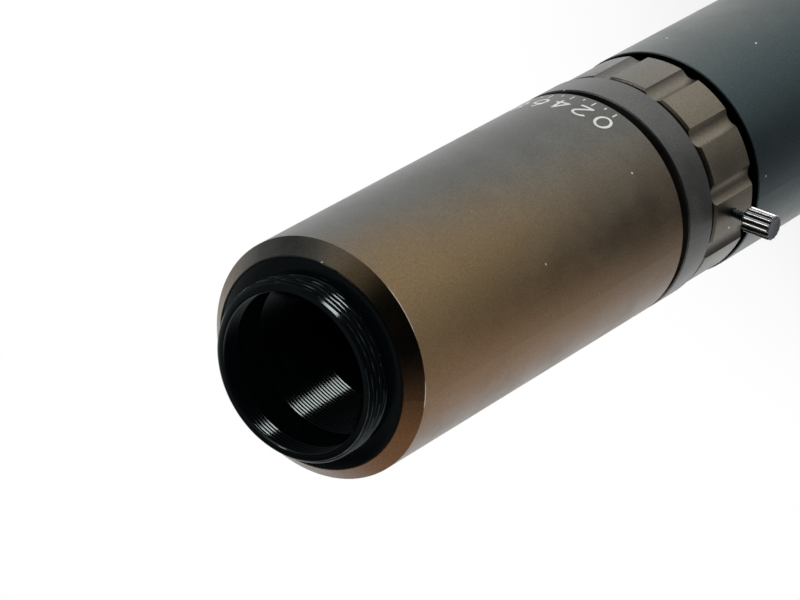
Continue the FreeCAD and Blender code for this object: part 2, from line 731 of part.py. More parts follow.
def make_lens(label, radius, rear, front, rear_curve=None, front_curve=None, rear_hollow=None, front_hollow=None):
    """A lens: a disc between two heights, with bulging or hollow spherical faces.

    A bulging face touches its height on the axis. A hollow face is given by its curve and
    the height of its deepest point.
    """
    disc = solid_part(
        "Part::Cylinder", f"{label}_disc",
        Radius=radius, Height=f"{rear} - {front}", Placement__Base__z=front,
    )
    shape = disc
    bulges = []
    if rear_curve:
        bulges.append((rear_curve, f"{rear} - {rear_curve}"))
    if front_curve:
        bulges.append((front_curve, f"{front} + {front_curve}"))
    if bulges:
        balls = [
            solid_part("Part::Sphere", f"{label}_ball", Radius=curve, Placement__Base__z=centre)
            for curve, centre in bulges
        ]
        shape = document.addObject("Part::MultiCommon", f"{label}_bulged")
        shape.Shapes = [disc] + balls
    hollows = []
    if rear_hollow:
        hollows.append((rear_hollow[0], f"{rear_hollow[1]} + {rear_hollow[0]}"))
    if front_hollow:
        hollows.append((front_hollow[0], f"{front_hollow[1]} - {front_hollow[0]}"))
    for curve, centre in hollows:
        ball = solid_part("Part::Sphere", f"{label}_hollow", Radius=curve, Placement__Base__z=centre)
        cut = document.addObject("Part::Cut", f"{label}_hollowed")
        cut.Base = shape
        cut.Tool = ball
        shape = cut
    shape.Label = label
    node_objects.append(shape)
    document.recompute()


def make_rear_group():
    """The lenses by the camera: a cemented pair, a spacer, a meniscus and the ring that holds them."""
    flint_edge = f"({REAR_CEMENT} - {sag('rear_cement_curve', REAR_LENS_EDGE)})"
    make_lens(
        "rear_flint_lens", REAR_LENS_RADIUS, REAR_SEAT, flint_edge,
        front_hollow=("rear_cement_curve", REAR_CEMENT),
    )
    make_lens(
        "rear_crown_lens", REAR_LENS_RADIUS, REAR_CROWN_REAR, REAR_CROWN_FRONT,
        rear_curve="rear_cement_curve", front_curve="rear_crown_curve",
    )
    plain_ring("rear_spacer", REAR_SPACER_BORE, REAR_LENS_RADIUS, REAR_SPACER_FRONT, REAR_SPACER_REAR)
    make_lens(
        "rear_meniscus_lens", REAR_LENS_RADIUS, REAR_SPACER_FRONT, MENISCUS_FRONT,
        front_curve="meniscus_curve", rear_hollow=("meniscus_hollow_curve", MENISCUS_HOLLOW),
    )
    ring_front = f"({REAR_RING_REAR} - ring_thickness)"
    ring_radius = f"({REAR_BORE} - thread_clearance)"
    ring = plain_ring("rear_retaining_ring", REAR_RING_BORE, ring_radius, ring_front, REAR_RING_REAR)
    cut_spanner_slot(ring, ring_front, True)


def make_middle_group():
    """The single lens in front of the iris and its ring."""
    make_lens(
        "middle_lens", MIDDLE_LENS_RADIUS, MIDDLE_LENS_REAR, MIDDLE_SEAT,
        rear_curve="middle_lens_curve",
    )
    ring_rear = f"({MIDDLE_RING_FRONT} + ring_thickness)"
    ring_radius = f"({MIDDLE_BORE} - thread_clearance)"
    ring = plain_ring("middle_retaining_ring", MIDDLE_RING_BORE, ring_radius, MIDDLE_RING_FRONT, ring_rear)
    cut_spanner_slot(ring, ring_rear, False)


def make_front_group():
    """The large cemented pair at the object end and its ring."""
    flint_edge = f"({FRONT_CEMENT} - {sag('front_cement_curve', f'{FRONT_LENS_RADIUS} - lens_bevel')})"
    make_lens(
        "front_flint_lens", FRONT_LENS_RADIUS, FRONT_SEAT, flint_edge,
        front_hollow=("front_cement_curve", FRONT_CEMENT),
    )
    make_lens(
        "front_crown_lens", FRONT_LENS_RADIUS, FRONT_CROWN_REAR, FRONT_CROWN_FRONT,
        rear_curve="front_cement_curve", front_curve="front_crown_curve",
    )
    ring_front = f"({FRONT_RING_REAR} - ring_thickness)"
    ring_radius = f"({FRONT_BORE} - thread_clearance)"
    ring = plain_ring("front_retaining_ring", FRONT_RING_BORE, ring_radius, ring_front, FRONT_RING_REAR)
    cut_spanner_slot(ring, ring_front, True)


def check_objects():
    """Stops the build if any object failed, or a sub-part's shape isn't a valid solid."""
    for item in document.Objects:
        if "Invalid" in item.State or "Error" in item.State:
            raise RuntimeError(f"{item.Label} failed: {item.State}")
    for item in node_objects:
        shape = item.Shape
        if shape.isNull() or not shape.isValid() or not shape.Solids:
            raise RuntimeError(f"{item.Label} has no valid solid")


def export_nodes():
    """Writes each sub-part to its own file, named after its label."""
    os.makedirs("parts", exist_ok=True)
    for item in node_objects:
        item.Shape.exportStep(f"parts/{item.Label}.step")
        box = item.Shape.BoundBox
        print(f"{item.Label:24s} volume {item.Shape.Volume:10.2f}  z {box.ZMin:8.3f} to {box.ZMax:8.3f}")


make_rear_barrel()
make_mount_adapter()
make_rear_group()
make_iris_housing()
make_grip_ring()
make_drive_screw()
make_lock_screw()
make_lock_pad()
make_base_plate()
base_plate_front = document.getObject("iris_base_plate").Shape.BoundBox.ZMin
cam_ring_rear = base_plate_front - sizes.blade_count * sizes.blade_pitch - sizes.blade_play
make_blades(base_plate_front, cam_ring_rear)
make_cam_ring(cam_ring_rear)
plain_ring(
    "iris_retaining_ring", IRIS_RING_BORE, PLATE_RADIUS,
    f"({IRIS_RING_REAR} - iris_ring_thickness)", IRIS_RING_REAR,
)
make_front_barrel()
make_middle_group()
make_front_group()
document.recompute()
check_objects()
export_nodes()
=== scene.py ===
import logging
import math
from dataclasses import dataclass, field
from enum import Enum
from typing import Callable, Sequence, Union

import bpy
from mathutils import Matrix, Vector


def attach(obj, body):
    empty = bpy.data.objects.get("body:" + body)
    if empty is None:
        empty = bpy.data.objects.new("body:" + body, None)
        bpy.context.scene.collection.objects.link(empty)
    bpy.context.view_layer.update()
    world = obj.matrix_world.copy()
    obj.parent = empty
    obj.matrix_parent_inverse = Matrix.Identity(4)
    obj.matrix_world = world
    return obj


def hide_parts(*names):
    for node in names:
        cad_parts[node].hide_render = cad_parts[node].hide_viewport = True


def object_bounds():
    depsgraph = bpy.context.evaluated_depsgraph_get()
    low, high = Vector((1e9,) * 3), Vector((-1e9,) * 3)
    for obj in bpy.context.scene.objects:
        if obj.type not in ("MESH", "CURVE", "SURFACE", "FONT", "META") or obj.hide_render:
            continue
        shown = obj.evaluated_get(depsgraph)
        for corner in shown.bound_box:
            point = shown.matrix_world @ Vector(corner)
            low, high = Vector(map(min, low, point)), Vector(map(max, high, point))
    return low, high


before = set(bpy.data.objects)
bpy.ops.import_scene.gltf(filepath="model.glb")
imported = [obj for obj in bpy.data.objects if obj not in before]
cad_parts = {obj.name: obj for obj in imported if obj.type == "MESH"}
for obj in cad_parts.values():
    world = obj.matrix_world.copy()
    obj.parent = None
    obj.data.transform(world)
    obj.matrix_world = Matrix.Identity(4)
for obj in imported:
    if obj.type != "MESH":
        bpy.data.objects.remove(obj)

CAD_BOX = [list(corner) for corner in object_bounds()]
MM = 0.001

Socket = bpy.types.NodeSocket
Colour = tuple[float, float, float]
Number = Union[float, Socket]
Tint = Union[Colour, Socket]
Pattern = Callable[[float, float], float]

# Heights on the rear barrel between which a tint band fades, in millimetres
FAR_HEIGHT, NEAR_HEIGHT = -60.0, -16.0

# A thread's flat crest, its root and its least flank, as shares of the pitch
CREST_SHARE, ROOT_SHARE, FLANK_SHARE = 0.03, 0.34, 0.06

log = logging.getLogger("lens")


def round_place(angle: float, radius: float, height: float) -> Vector:
    """A point from its angle in degrees about the optical axis, its radius and its height in millimetres."""
    turn = math.radians(angle)
    return Vector((radius * math.cos(turn), radius * math.sin(turn), height))


# Shader graphs
class Graph:
    """A node tree with short calls for placing and joining nodes."""

    def __init__(self, tree: bpy.types.NodeTree) -> None:
        """Keeps the tree that the calls work on."""
        self.tree = tree

    def node(self, kind: str, **settings: object) -> bpy.types.Node:
        """Places a node and sets its properties.

        Args:
            kind: The node's type name.
            settings: Properties of the node by name.

        Returns:
            The new node.
        """
        placed = self.tree.nodes.new(kind)
        for name, choice in settings.items():
            setattr(placed, name, choice)
        return placed

    def feed(self, socket: Socket, value: Union[Number, Tint, Vector]) -> None:
        """Joins an input to another socket, or gives it a value of its own.

        Args:
            socket: The input.
            value: A socket, a number, a colour or a vector.
        """
        if isinstance(value, bpy.types.NodeSocket):
            self.tree.links.new(value, socket)
        elif socket.type == "RGBA":
            socket.default_value = (*value, 1.0)
        else:
            socket.default_value = value

    def calc(self, operation: str, *values: Number, clamp: bool = False) -> Socket:
        """A math node.

        Args:
            operation: The math node's operation.
            values: Its inputs in order.
            clamp: Whether the result is kept between 0 and 1.

        Returns:
            The result's socket.
        """
        placed = self.node("ShaderNodeMath", operation=operation, use_clamp=clamp)
        for socket, value in zip(placed.inputs, values):
            self.feed(socket, value)
        return placed.outputs[0]

    def fade(
        self, value: Number, low: Number, high: Number, start: Number = 0.0, end: Number = 1.0
    ) -> Socket:
        """A smooth step from start to end as a value goes from low to high.

        Args:
            value: The value that is read.
            low: Where the step starts.
            high: Where it ends.
            start: The result below low.
            end: The result above high.

        Returns:
            The result's socket.
        """
        placed = self.node("ShaderNodeMapRange", interpolation_type="SMOOTHSTEP")
        for socket, number in zip(placed.inputs, (value, low, high, start, end)):
            self.feed(socket, number)
        return placed.outputs[0]

    def blend(self, factor: Number, first: Tint, second: Tint, mode: str = "MIX") -> Socket:
        """A mix of two colours.

        Args:
            factor: The share of the second colour.
            first: The first colour.
            second: The second colour.
            mode: The way that they mix.

        Returns:
            The mixed colour's socket.
        """
        placed = self.node("ShaderNodeMix", data_type="RGBA", blend_type=mode, clamp_factor=True)
        self.feed(placed.inputs[0], factor)
        self.feed(placed.inputs[6], first)
        self.feed(placed.inputs[7], second)
        return placed.outputs[2]

    def noise(self, place: Socket, scale: Number, detail: float = 2.0, roughness: float = 0.5) -> Socket:
        """The value of a noise texture.

        Args:
            place: The coordinates.
            scale: The noise's scale.
            detail: How many finer layers it has.
            roughness: How strong the finer layers are.

        Returns:
            The socket of its value.
        """
        placed = self.node("ShaderNodeTexNoise")
        self.feed(placed.inputs["Vector"], place)
        self.feed(placed.inputs["Scale"], scale)
        self.feed(placed.inputs["Detail"], detail)
        self.feed(placed.inputs["Roughness"], roughness)
        return placed.outputs[0]

    def grey(self, value: Socket) -> Socket:
        """A grey of a given value.

        Args:
            value: The value.

        Returns:
            The colour's socket.
        """
        joined = self.node("ShaderNodeCombineColor")
        for socket in joined.inputs:
            self.feed(socket, value)
        return joined.outputs[0]

    def middle(self, first: Number, second: Number) -> Socket:
        """The middle of two values."""
        return self.calc("MULTIPLY", self.calc("ADD", first, second), 0.5)

    def compare(self, operation: str, first: Socket, second: Union[Socket, Vector]) -> Socket:
        """The number that a vector math node makes of two vectors.

        Args:
            operation: The node's operation.
            first: The first vector.
            second: The second vector.

        Returns:
            The number's socket.
        """
        placed = self.node("ShaderNodeVectorMath", operation=operation)
        self.feed(placed.inputs[0], first)
        self.feed(placed.inputs[1], second)
        return placed.outputs["Value"]

    def distance(self, first: Socket, second: Union[Socket, Vector]) -> Socket:
        """How far apart two places are."""
        return self.compare("DISTANCE", first, second)

    def along(self, direction: Socket, axis: Vector) -> Socket:
        """The cosine of the angle between a direction and an axis."""
        return self.compare("DOT_PRODUCT", direction, axis.normalized())

    def reach(self, first: Socket, second: Socket) -> Socket:
        """The distance that two offsets at right angles make together."""
        squares = self.calc("ADD", self.calc("MULTIPLY", first, first), self.calc("MULTIPLY", second, second))
        return self.calc("SQRT", squares)

    def object_place(self) -> Socket:
        """The place on the object.

        Returns:
            The socket of the place in millimetres.
        """
        coordinates = self.node("ShaderNodeTexCoord")
        scaled = self.node("ShaderNodeVectorMath", operation="SCALE")
        self.feed(scaled.inputs[0], coordinates.outputs["Object"])
        self.feed(scaled.inputs["Scale"], 1.0 / MM)
        return scaled.outputs[0]

    def place_parts(self) -> tuple[Socket, Socket, Socket]:
        """The place on the object, taken apart.

        Returns:
            The sockets of its three coordinates in millimetres.
        """
        parts = self.node("ShaderNodeSeparateXYZ")
        self.feed(parts.inputs[0], self.object_place())
        return tuple(parts.outputs)

    def turned_place(self) -> tuple[Socket, Socket, Socket]:
        """The place on the object about the optical axis.

        Returns:
            The sockets of the angle in degrees, and of the radius and the height in millimetres.
        """
        across, deep, height = self.place_parts()
        angle = self.calc("DEGREES", self.calc("ARCTAN2", deep, across))
        return angle, self.reach(across, deep), height


class Effect(Enum):
    """The surface effects that more than one finish uses."""

    GRAIN = "blasted_grain"
    DRIFT = "tint_and_shade_drift"
    WORN_ARC = "worn_arc"
    DUST = "dust"
    SPECK = "single_speck"
    TURNING = "turning_marks"
    HANDLING = "handling_smudge"


class EffectShelf:
    """Builds each shared effect once, as a node group with named sockets."""

    def __init__(self) -> None:
        """Starts with no groups built."""
        self.groups: dict[Effect, bpy.types.NodeTree] = {}

    def place(self, graph: Graph, effect: Effect, **values: Union[Number, Tint, Vector]) -> dict[str, Socket]:
        """Places an effect in a material.

        Args:
            graph: The material's graph.
            effect: The effect.
            values: Its inputs, with an underscore for each space of their names.

        Returns:
            Its outputs by name.
        """
        if effect not in self.groups:
            self.groups[effect] = self.build(effect)
        placed = graph.node("ShaderNodeGroup", node_tree=self.groups[effect])
        for name, value in values.items():
            graph.feed(placed.inputs[name.replace("_", " ").title()], value)
        return {socket.name: socket for socket in placed.outputs}

    def build(self, effect: Effect) -> bpy.types.NodeTree:
        """Builds one effect's group.

        Args:
            effect: The effect.

        Returns:
            The group's node tree.
        """
        makers = {
            Effect.GRAIN: self.draw_grain,
            Effect.DRIFT: self.draw_drift,
            Effect.WORN_ARC: self.draw_worn_arc,
            Effect.DUST: self.draw_dust,
            Effect.SPECK: self.draw_speck,
            Effect.TURNING: self.draw_turning,
            Effect.HANDLING: self.draw_handling,
        }
        tree = bpy.data.node_groups.new(effect.value, "ShaderNodeTree")
        makers[effect](tree)
        return tree

    @staticmethod
    def sockets(
        tree: bpy.types.NodeTree, inputs: dict[str, Union[float, Colour, Vector]], outputs: dict[str, str]
    ) -> tuple[Graph, dict[str, Socket], dict[str, Socket]]:
        """Gives a group its named sockets.

        Args:
            tree: The group's tree.
            inputs: The value that each input starts with; three numbers make a colour.
            outputs: The socket type of each output.

        Returns:
            The graph, the sockets that carry the inputs, and the sockets that take the outputs.
        """
        for name, value in inputs.items():
            kind = "NodeSocketFloat"
            if isinstance(value, Vector):
                kind = "NodeSocketVector"
            elif isinstance(value, tuple):
                kind = "NodeSocketColor"
                value = (*value, 1.0)
            tree.interface.new_socket(name, in_out="INPUT", socket_type=kind).default_value = value
        for name, kind in outputs.items():
            tree.interface.new_socket(name, in_out="OUTPUT", socket_type=kind)
        graph = Graph(tree)
        source = graph.node("NodeGroupInput")
        target = graph.node("NodeGroupOutput")
        given = {name: source.outputs[name] for name in inputs}
        wanted = {name: target.inputs[name] for name in outputs}
        return graph, given, wanted

    def draw_grain(self, tree: bpy.types.NodeTree) -> None:
        """The fine pits of bead blasting, and the slow clouding over them.

        Args:
            tree: The group's tree.
        """
        graph, given, wanted = self.sockets(
            tree, {"Size": 0.2, "Cloud Size": 6.0}, {"Grain": "NodeSocketFloat", "Clouds": "NodeSocketFloat"}
        )
        place = graph.object_place()
        fine = graph.noise(place, scale=graph.calc("DIVIDE", 1.0, given["Size"]), detail=2.0, roughness=0.62)
        clouds = graph.noise(
            place, scale=graph.calc("DIVIDE", 1.0, given["Cloud Size"]), detail=3.0, roughness=0.55
        )
        graph.feed(wanted["Grain"], graph.fade(fine, 0.25, 0.75))
        graph.feed(wanted["Clouds"], graph.fade(clouds, 0.3, 0.7))

    def draw_drift(self, tree: bpy.types.NodeTree) -> None:
        """A colour that changes slowly round the barrel: a dye's tint, and in the near-black bands painted
        shade.

        Args:
            tree: The group's tree.
        """
        graph, given, wanted = self.sockets(
            tree,
            {
                "Middle": 20.0, "Twist": 0.0, "Reach": 60.0, "Far Share": 1.0,
                "Inside": (0.2, 0.1, 0.05), "Outside": (0.1, 0.1, 0.1), "Patches": 20.0,
            },
            {"Colour": "NodeSocketColor"},
        )
        angle, _, height = graph.turned_place()
        centre = graph.calc("ADD", given["Middle"], graph.calc("MULTIPLY", given["Twist"], height))
        cloud = graph.noise(graph.object_place(), scale=0.06, detail=3.0, roughness=0.6)
        shift = graph.calc("MULTIPLY", graph.calc("SUBTRACT", cloud, 0.5), given["Patches"])
        turned = graph.calc("ADD", graph.calc("SUBTRACT", angle, centre), shift)
        wrapped = graph.calc("ABSOLUTE", graph.calc("WRAP", turned, 180.0, -180.0))
        near = graph.fade(wrapped, graph.calc("MULTIPLY", given["Reach"], 0.25), given["Reach"], 1.0, 0.0)
        level = graph.fade(height, FAR_HEIGHT, NEAR_HEIGHT, given["Far Share"], 1.0)
        share = graph.calc("MULTIPLY", near, level)
        graph.feed(wanted["Colour"], graph.blend(share, given["Outside"], given["Inside"]))

    def draw_worn_arc(self, tree: bpy.types.NodeTree) -> None:
        """A thin worn line round an edge, over an arc, broken up along its length.

        Args:
            tree: The group's tree.
        """
        graph, given, wanted = self.sockets(
            tree,
            {"Height": 0.0, "Radius": 17.0, "Width": 0.1, "Middle": 0.0, "Reach": 20.0, "Cover": 0.5},
            {"Mask": "NodeSocketFloat"},
        )
        angle, radius, height = graph.turned_place()
        off_height = graph.calc("SUBTRACT", height, given["Height"])
        off_radius = graph.calc("SUBTRACT", radius, given["Radius"])
        away = graph.calc("ADD", graph.calc("ABSOLUTE", off_height), graph.calc("ABSOLUTE", off_radius))
        ragged = graph.noise(graph.object_place(), scale=2.2, detail=3.0, roughness=0.65)
        width = graph.calc("MULTIPLY", given["Width"], graph.calc("ADD", ragged, 0.5))
        line = graph.fade(away, graph.calc("MULTIPLY", width, 0.4), width, 1.0, 0.0)
        wrapped = graph.calc("WRAP", graph.calc("SUBTRACT", angle, given["Middle"]), 180.0, -180.0)
        inner = graph.calc("MULTIPLY", given["Reach"], 0.5)
        arc = graph.fade(graph.calc("ABSOLUTE", wrapped), inner, given["Reach"], 1.0, 0.0)
        breaks = graph.noise(graph.object_place(), scale=0.55, detail=2.0, roughness=0.6)
        limit = graph.calc("SUBTRACT", 1.0, given["Cover"])
        kept = graph.fade(breaks, limit, graph.calc("ADD", limit, 0.08))
        graph.feed(wanted["Mask"], graph.calc("MULTIPLY", line, graph.calc("MULTIPLY", arc, kept)))

    def draw_dust(self, tree: bpy.types.NodeTree) -> None:
        """A few fine specks of dust, each where a cell's centre comes near the surface.

        Args:
            tree: The group's tree.
        """
        graph, given, wanted = self.sockets(
            tree, {"Spacing": 3.0, "Size": 0.05}, {"Mask": "NodeSocketFloat"}
        )
        cells = graph.node("ShaderNodeTexVoronoi", feature="F1")
        graph.feed(cells.inputs["Vector"], graph.object_place())
        graph.feed(cells.inputs["Scale"], graph.calc("DIVIDE", 1.0, given["Spacing"]))
        away = graph.calc("MULTIPLY", cells.outputs["Distance"], given["Spacing"])
        inner = graph.calc("MULTIPLY", given["Size"], 0.6)
        graph.feed(wanted["Mask"], graph.fade(away, inner, given["Size"], 1.0, 0.0))

    def draw_speck(self, tree: bpy.types.NodeTree) -> None:
        """One speck at a given place in millimetres.

        Args:
            tree: The group's tree.
        """
        graph, given, wanted = self.sockets(
            tree, {"Centre": Vector((0.0, 0.0, 0.0)), "Size": 0.1}, {"Mask": "NodeSocketFloat"}
        )
        ragged = graph.noise(graph.object_place(), scale=9.0, detail=2.0)
        away = graph.distance(graph.object_place(), given["Centre"])
        size = graph.calc("MULTIPLY", given["Size"], graph.calc("ADD", ragged, 0.5))
        graph.feed(wanted["Mask"], graph.fade(away, graph.calc("MULTIPLY", size, 0.6), size, 1.0, 0.0))

    def draw_turning(self, tree: bpy.types.NodeTree) -> None:
        """The fine rings that a lathe tool leaves, on walls and on faces.

        Args:
            tree: The group's tree.
        """
        graph, given, wanted = self.sockets(
            tree, {"Pitch": 0.12}, {"Rings": "NodeSocketFloat", "Bands": "NodeSocketFloat"}
        )
        angle, radius, height = graph.turned_place()
        along = graph.calc("ADD", radius, graph.calc("MULTIPLY", height, 1.07))
        line = graph.node("ShaderNodeCombineXYZ")
        graph.feed(line.inputs[0], along)
        graph.feed(line.inputs[1], graph.calc("MULTIPLY", angle, 0.0006))
        fine = graph.noise(
            line.outputs[0], scale=graph.calc("DIVIDE", 1.0, given["Pitch"]), detail=2.0, roughness=0.6
        )
        bands = graph.noise(
            line.outputs[0], scale=graph.calc("DIVIDE", 0.09, given["Pitch"]), detail=2.0, roughness=0.5
        )
        graph.feed(wanted["Rings"], graph.fade(fine, 0.25, 0.75))
        graph.feed(wanted["Bands"], graph.fade(bands, 0.3, 0.7))

    def draw_handling(self, tree: bpy.types.NodeTree) -> None:
        """Faint smudges from handling.

        Args:
            tree: The group's tree.
        """
        graph, given, wanted = self.sockets(tree, {"Size": 9.0}, {"Smudge": "NodeSocketFloat"})
        place = graph.object_place()
        broad = graph.noise(place, scale=graph.calc("DIVIDE", 1.0, given["Size"]), detail=4.0, roughness=0.62)
        graph.feed(wanted["Smudge"], graph.fade(broad, 0.42, 0.66))


shelf = EffectShelf()


# Finishes
@dataclass(frozen=True)
class Finish:
    """What every finish has: its name, tones, metal share and roughness range."""

    name: str
    dark: Colour
    light: Colour
    metallic: float
    smooth: float
    rough: float
    bump: float = 0.1
    gloss_tint: Colour = (1.0, 1.0, 1.0)
    reflectance: float = 0.5

    def start(self) -> tuple[bpy.types.Material, Graph, bpy.types.Node]:
        """Makes the material with a Principled shader in it.

        Returns:
            The material, its graph and the shader.
        """
        material = bpy.data.materials.new(self.name)
        material.use_nodes = True
        graph = Graph(material.node_tree)
        shader = next(node for node in material.node_tree.nodes if node.type == "BSDF_PRINCIPLED")
        shader.inputs["Metallic"].default_value = self.metallic
        shader.inputs["Specular IOR Level"].default_value = self.reflectance
        shader.inputs["Specular Tint"].default_value = (*self.gloss_tint, 1.0)
        return material, graph, shader

    def roughen(self, graph: Graph, shader: bpy.types.Node, share: Number) -> None:
        """Spreads the roughness between its two ends by a share that varies over the surface."""
        graph.feed(shader.inputs["Roughness"], graph.fade(share, 0.0, 1.0, self.smooth, self.rough))

    def raise_bump(self, graph: Graph, shader: bpy.types.Node, height: Socket, distance: float) -> None:
        """Gives the shader a bumped normal.

        Args:
            graph: The material's graph.
            shader: The shader.
            height: The height that varies over the surface.
            distance: The bump's depth in millimetres.
        """
        bump = graph.node("ShaderNodeBump")
        bump.inputs["Strength"].default_value = self.bump
        bump.inputs["Distance"].default_value = distance * MM
        graph.feed(bump.inputs["Height"], height)
        graph.feed(shader.inputs["Normal"], bump.outputs[0])


@dataclass(frozen=True)
class WornArc:
    """One worn stretch of an edge, in millimetres and degrees."""

    height: float
    radius: float
    middle: float
    reach: float
    width: float
    cover: float


@dataclass(frozen=True)
class TintBand:
    """A stretch of the barrel's girth with another colour: a dye's tint, and in the near-black bands painted
    shade.
    """

    middle: float
    reach: float
    colour: Colour
    twist: float = 0.0
    patches: float = 24.0
    rim: Union[float, None] = None
    far_share: float = 1.0


@dataclass(frozen=True)
class AnodisedFinish(Finish):
    """Bead-blasted, dyed aluminium, with worn edges and specks of dust; a few specks are painted glints, and
    some tint bands are painted shade.
    """

    bands: tuple[TintBand, ...] = ()
    arcs: tuple[WornArc, ...] = ()
    specks: tuple[tuple[float, float, float], ...] = ()
    grain_size: float = 0.17
    cloud_size: float = 5.0
    speckle: float = 0.2
    depth: float = 0.02
    rim_blur: float = 0.05
    dust_spacing: float = 4.6
    dust_size: float = 0.07
    speck_size: float = 0.21
    smudge_size: float = 11.0
    bare: Colour = (0.62, 0.58, 0.52)
    dust_and_glint_colour: Colour = (0.78, 0.78, 0.76)

    def tinted_and_shaded(self, graph: Graph, colour: Socket) -> Socket:
        """The dye's colour with its tint bands, of which the near-black ones are painted shade.

        Args:
            graph: The material's graph.
            colour: The plain dye's colour.

        Returns:
            The colour's socket.
        """
        for band in self.bands:
            drift = shelf.place(
                graph, Effect.DRIFT, middle=band.middle, twist=band.twist, reach=band.reach,
                inside=band.colour, outside=colour, patches=band.patches, far_share=band.far_share,
            )
            if band.rim is None:
                colour = drift["Colour"]
            else:
                _, _, height = graph.place_parts()
                on_rim = graph.fade(height, band.rim - self.rim_blur, band.rim + self.rim_blur)
                colour = graph.blend(on_rim, colour, drift["Colour"])
        return colour

    def dust(self, graph: Graph) -> Socket:
        """Where dust lies, and where a listed speck paints a glint.

        Args:
            graph: The material's graph.

        Returns:
            The socket of the mask of fine dust and larger specks; some larger specks are painted glints.
        """
        mask = shelf.place(graph, Effect.DUST, spacing=self.dust_spacing, size=self.dust_size)["Mask"]
        for speck in self.specks:
            placed = shelf.place(graph, Effect.SPECK, centre=round_place(*speck), size=self.speck_size)
            mask = graph.calc("MAXIMUM", mask, placed["Mask"])
        return mask

    def wear(self, graph: Graph) -> Number:
        """Where the edges are worn bare.

        Args:
            graph: The material's graph.

        Returns:
            The mask of all worn arcs together.
        """
        mask: Number = 0.0
        for arc in self.arcs:
            placed = shelf.place(
                graph, Effect.WORN_ARC, height=arc.height, radius=arc.radius, width=arc.width,
                middle=arc.middle, reach=arc.reach, cover=arc.cover,
            )
            mask = graph.calc("MAXIMUM", mask, placed["Mask"])
        return mask

    def make(self) -> bpy.types.Material:
        """Builds the material.

        Returns:
            The material.
        """
        material, graph, shader = self.start()
        grain = shelf.place(graph, Effect.GRAIN, size=self.grain_size, cloud_size=self.cloud_size)
        colour = self.tinted_and_shaded(graph, graph.blend(grain["Clouds"], self.dark, self.light))
        speckle = graph.fade(grain["Grain"], 0.0, 1.0, 1.0 - self.speckle, 1.0 + self.speckle)
        colour = graph.blend(1.0, colour, graph.grey(speckle), "MULTIPLY")
        colour = graph.blend(self.dust(graph), colour, self.dust_and_glint_colour)
        if self.arcs:
            colour = graph.blend(self.wear(graph), colour, self.bare)
        graph.feed(shader.inputs["Base Color"], colour)
        smudge = shelf.place(graph, Effect.HANDLING, size=self.smudge_size)["Smudge"]
        self.roughen(graph, shader, graph.middle(grain["Clouds"], smudge))
        self.raise_bump(graph, shader, grain["Grain"], self.depth)
        return material


@dataclass(frozen=True)
class TurnedFinish(Finish):
    """Metal left from the lathe and then coloured or plain; its bore may have another roughness."""

    pitch: float = 0.12
    depth: float = 0.004
    smudge_size: float = 7.0
    bore_radius: float = 0.0
    bore_rough: float = 0.3
    bore_blur: float = 0.1

    def make(self) -> bpy.types.Material:
        """Builds the material.

        Returns:
            The material.
        """
        material, graph, shader = self.start()
        marks = shelf.place(graph, Effect.TURNING, pitch=self.pitch)
        smudge = shelf.place(graph, Effect.HANDLING, size=self.smudge_size)["Smudge"]
        graph.feed(shader.inputs["Base Color"], graph.blend(marks["Bands"], self.dark, self.light))
        rough = graph.fade(graph.middle(marks["Bands"], smudge), 0.0, 1.0, self.smooth, self.rough)
        if self.bore_radius:
            _, radius, _ = graph.turned_place()
            inner, outer = self.bore_radius - self.bore_blur, self.bore_radius
            rough = graph.fade(radius, inner, outer, self.bore_rough, rough)
        graph.feed(shader.inputs["Roughness"], rough)
        self.raise_bump(graph, shader, marks["Rings"], self.depth)
        return material


@dataclass(frozen=True)
class GrainedFinish(Finish):
    """A piece with an even fine grain, such as nylon or printing ink; its crests may be worn bright."""

    grain_size: float = 0.1
    cloud_size: float = 1.5
    depth: float = 0.004
    crest_radius: float = 0.0
    crest_blur: float = 0.07
    crest_colour: Colour = (0.7, 0.68, 0.64)
    spin_height: float = 0.0

    def crested(self, graph: Graph, colour: Socket) -> Socket:
        """The colour with bright crests, for a piece that is turned about a level axis.

        Args:
            graph: The material's graph.
            colour: The colour between the crests.

        Returns:
            The colour's socket.
        """
        _, deep, height = graph.place_parts()
        radius = graph.reach(deep, graph.calc("SUBTRACT", height, self.spin_height))
        worn = graph.fade(radius, self.crest_radius - self.crest_blur, self.crest_radius)
        return graph.blend(worn, colour, self.crest_colour)

    def make(self) -> bpy.types.Material:
        """Builds the material.

        Returns:
            The material.
        """
        material, graph, shader = self.start()
        grain = shelf.place(graph, Effect.GRAIN, size=self.grain_size, cloud_size=self.cloud_size)
        colour = graph.blend(grain["Clouds"], self.dark, self.light)
        if self.crest_radius:
            colour = self.crested(graph, colour)
        graph.feed(shader.inputs["Base Color"], colour)
        self.roughen(graph, shader, grain["Grain"])
        self.raise_bump(graph, shader, grain["Grain"], self.depth)
        return material


@dataclass(frozen=True)
class GlassFinish(Finish):
    """Polished glass with a coating whose tint changes from middle to rim."""

    index: float = 1.52
    rim_radius: float = 14.0
    smudge_size: float = 6.0

    def make(self) -> bpy.types.Material:
        """Builds the material.

        Returns:
            The material.
        """
        material, graph, shader = self.start()
        shader.inputs["Transmission Weight"].default_value = 1.0
        shader.inputs["IOR"].default_value = self.index
        _, radius, _ = graph.turned_place()
        tint = graph.blend(graph.fade(radius, 0.0, self.rim_radius), self.light, self.dark)
        graph.feed(shader.inputs["Base Color"], tint)
        smudge = shelf.place(graph, Effect.HANDLING, size=self.smudge_size)["Smudge"]
        self.roughen(graph, shader, smudge)
        return material


# Meshes
@dataclass(frozen=True)
class Station:
    """One ring of a turned piece: its radius, its height, and the pattern that cuts into it there."""

    radius: float
    height: float
    pattern: Union[Pattern, None] = None
    share: float = 1.0


class Spin(Enum):
    """The axis that a piece is turned about."""

    OPTICAL = "z"
    SCREW = "x"


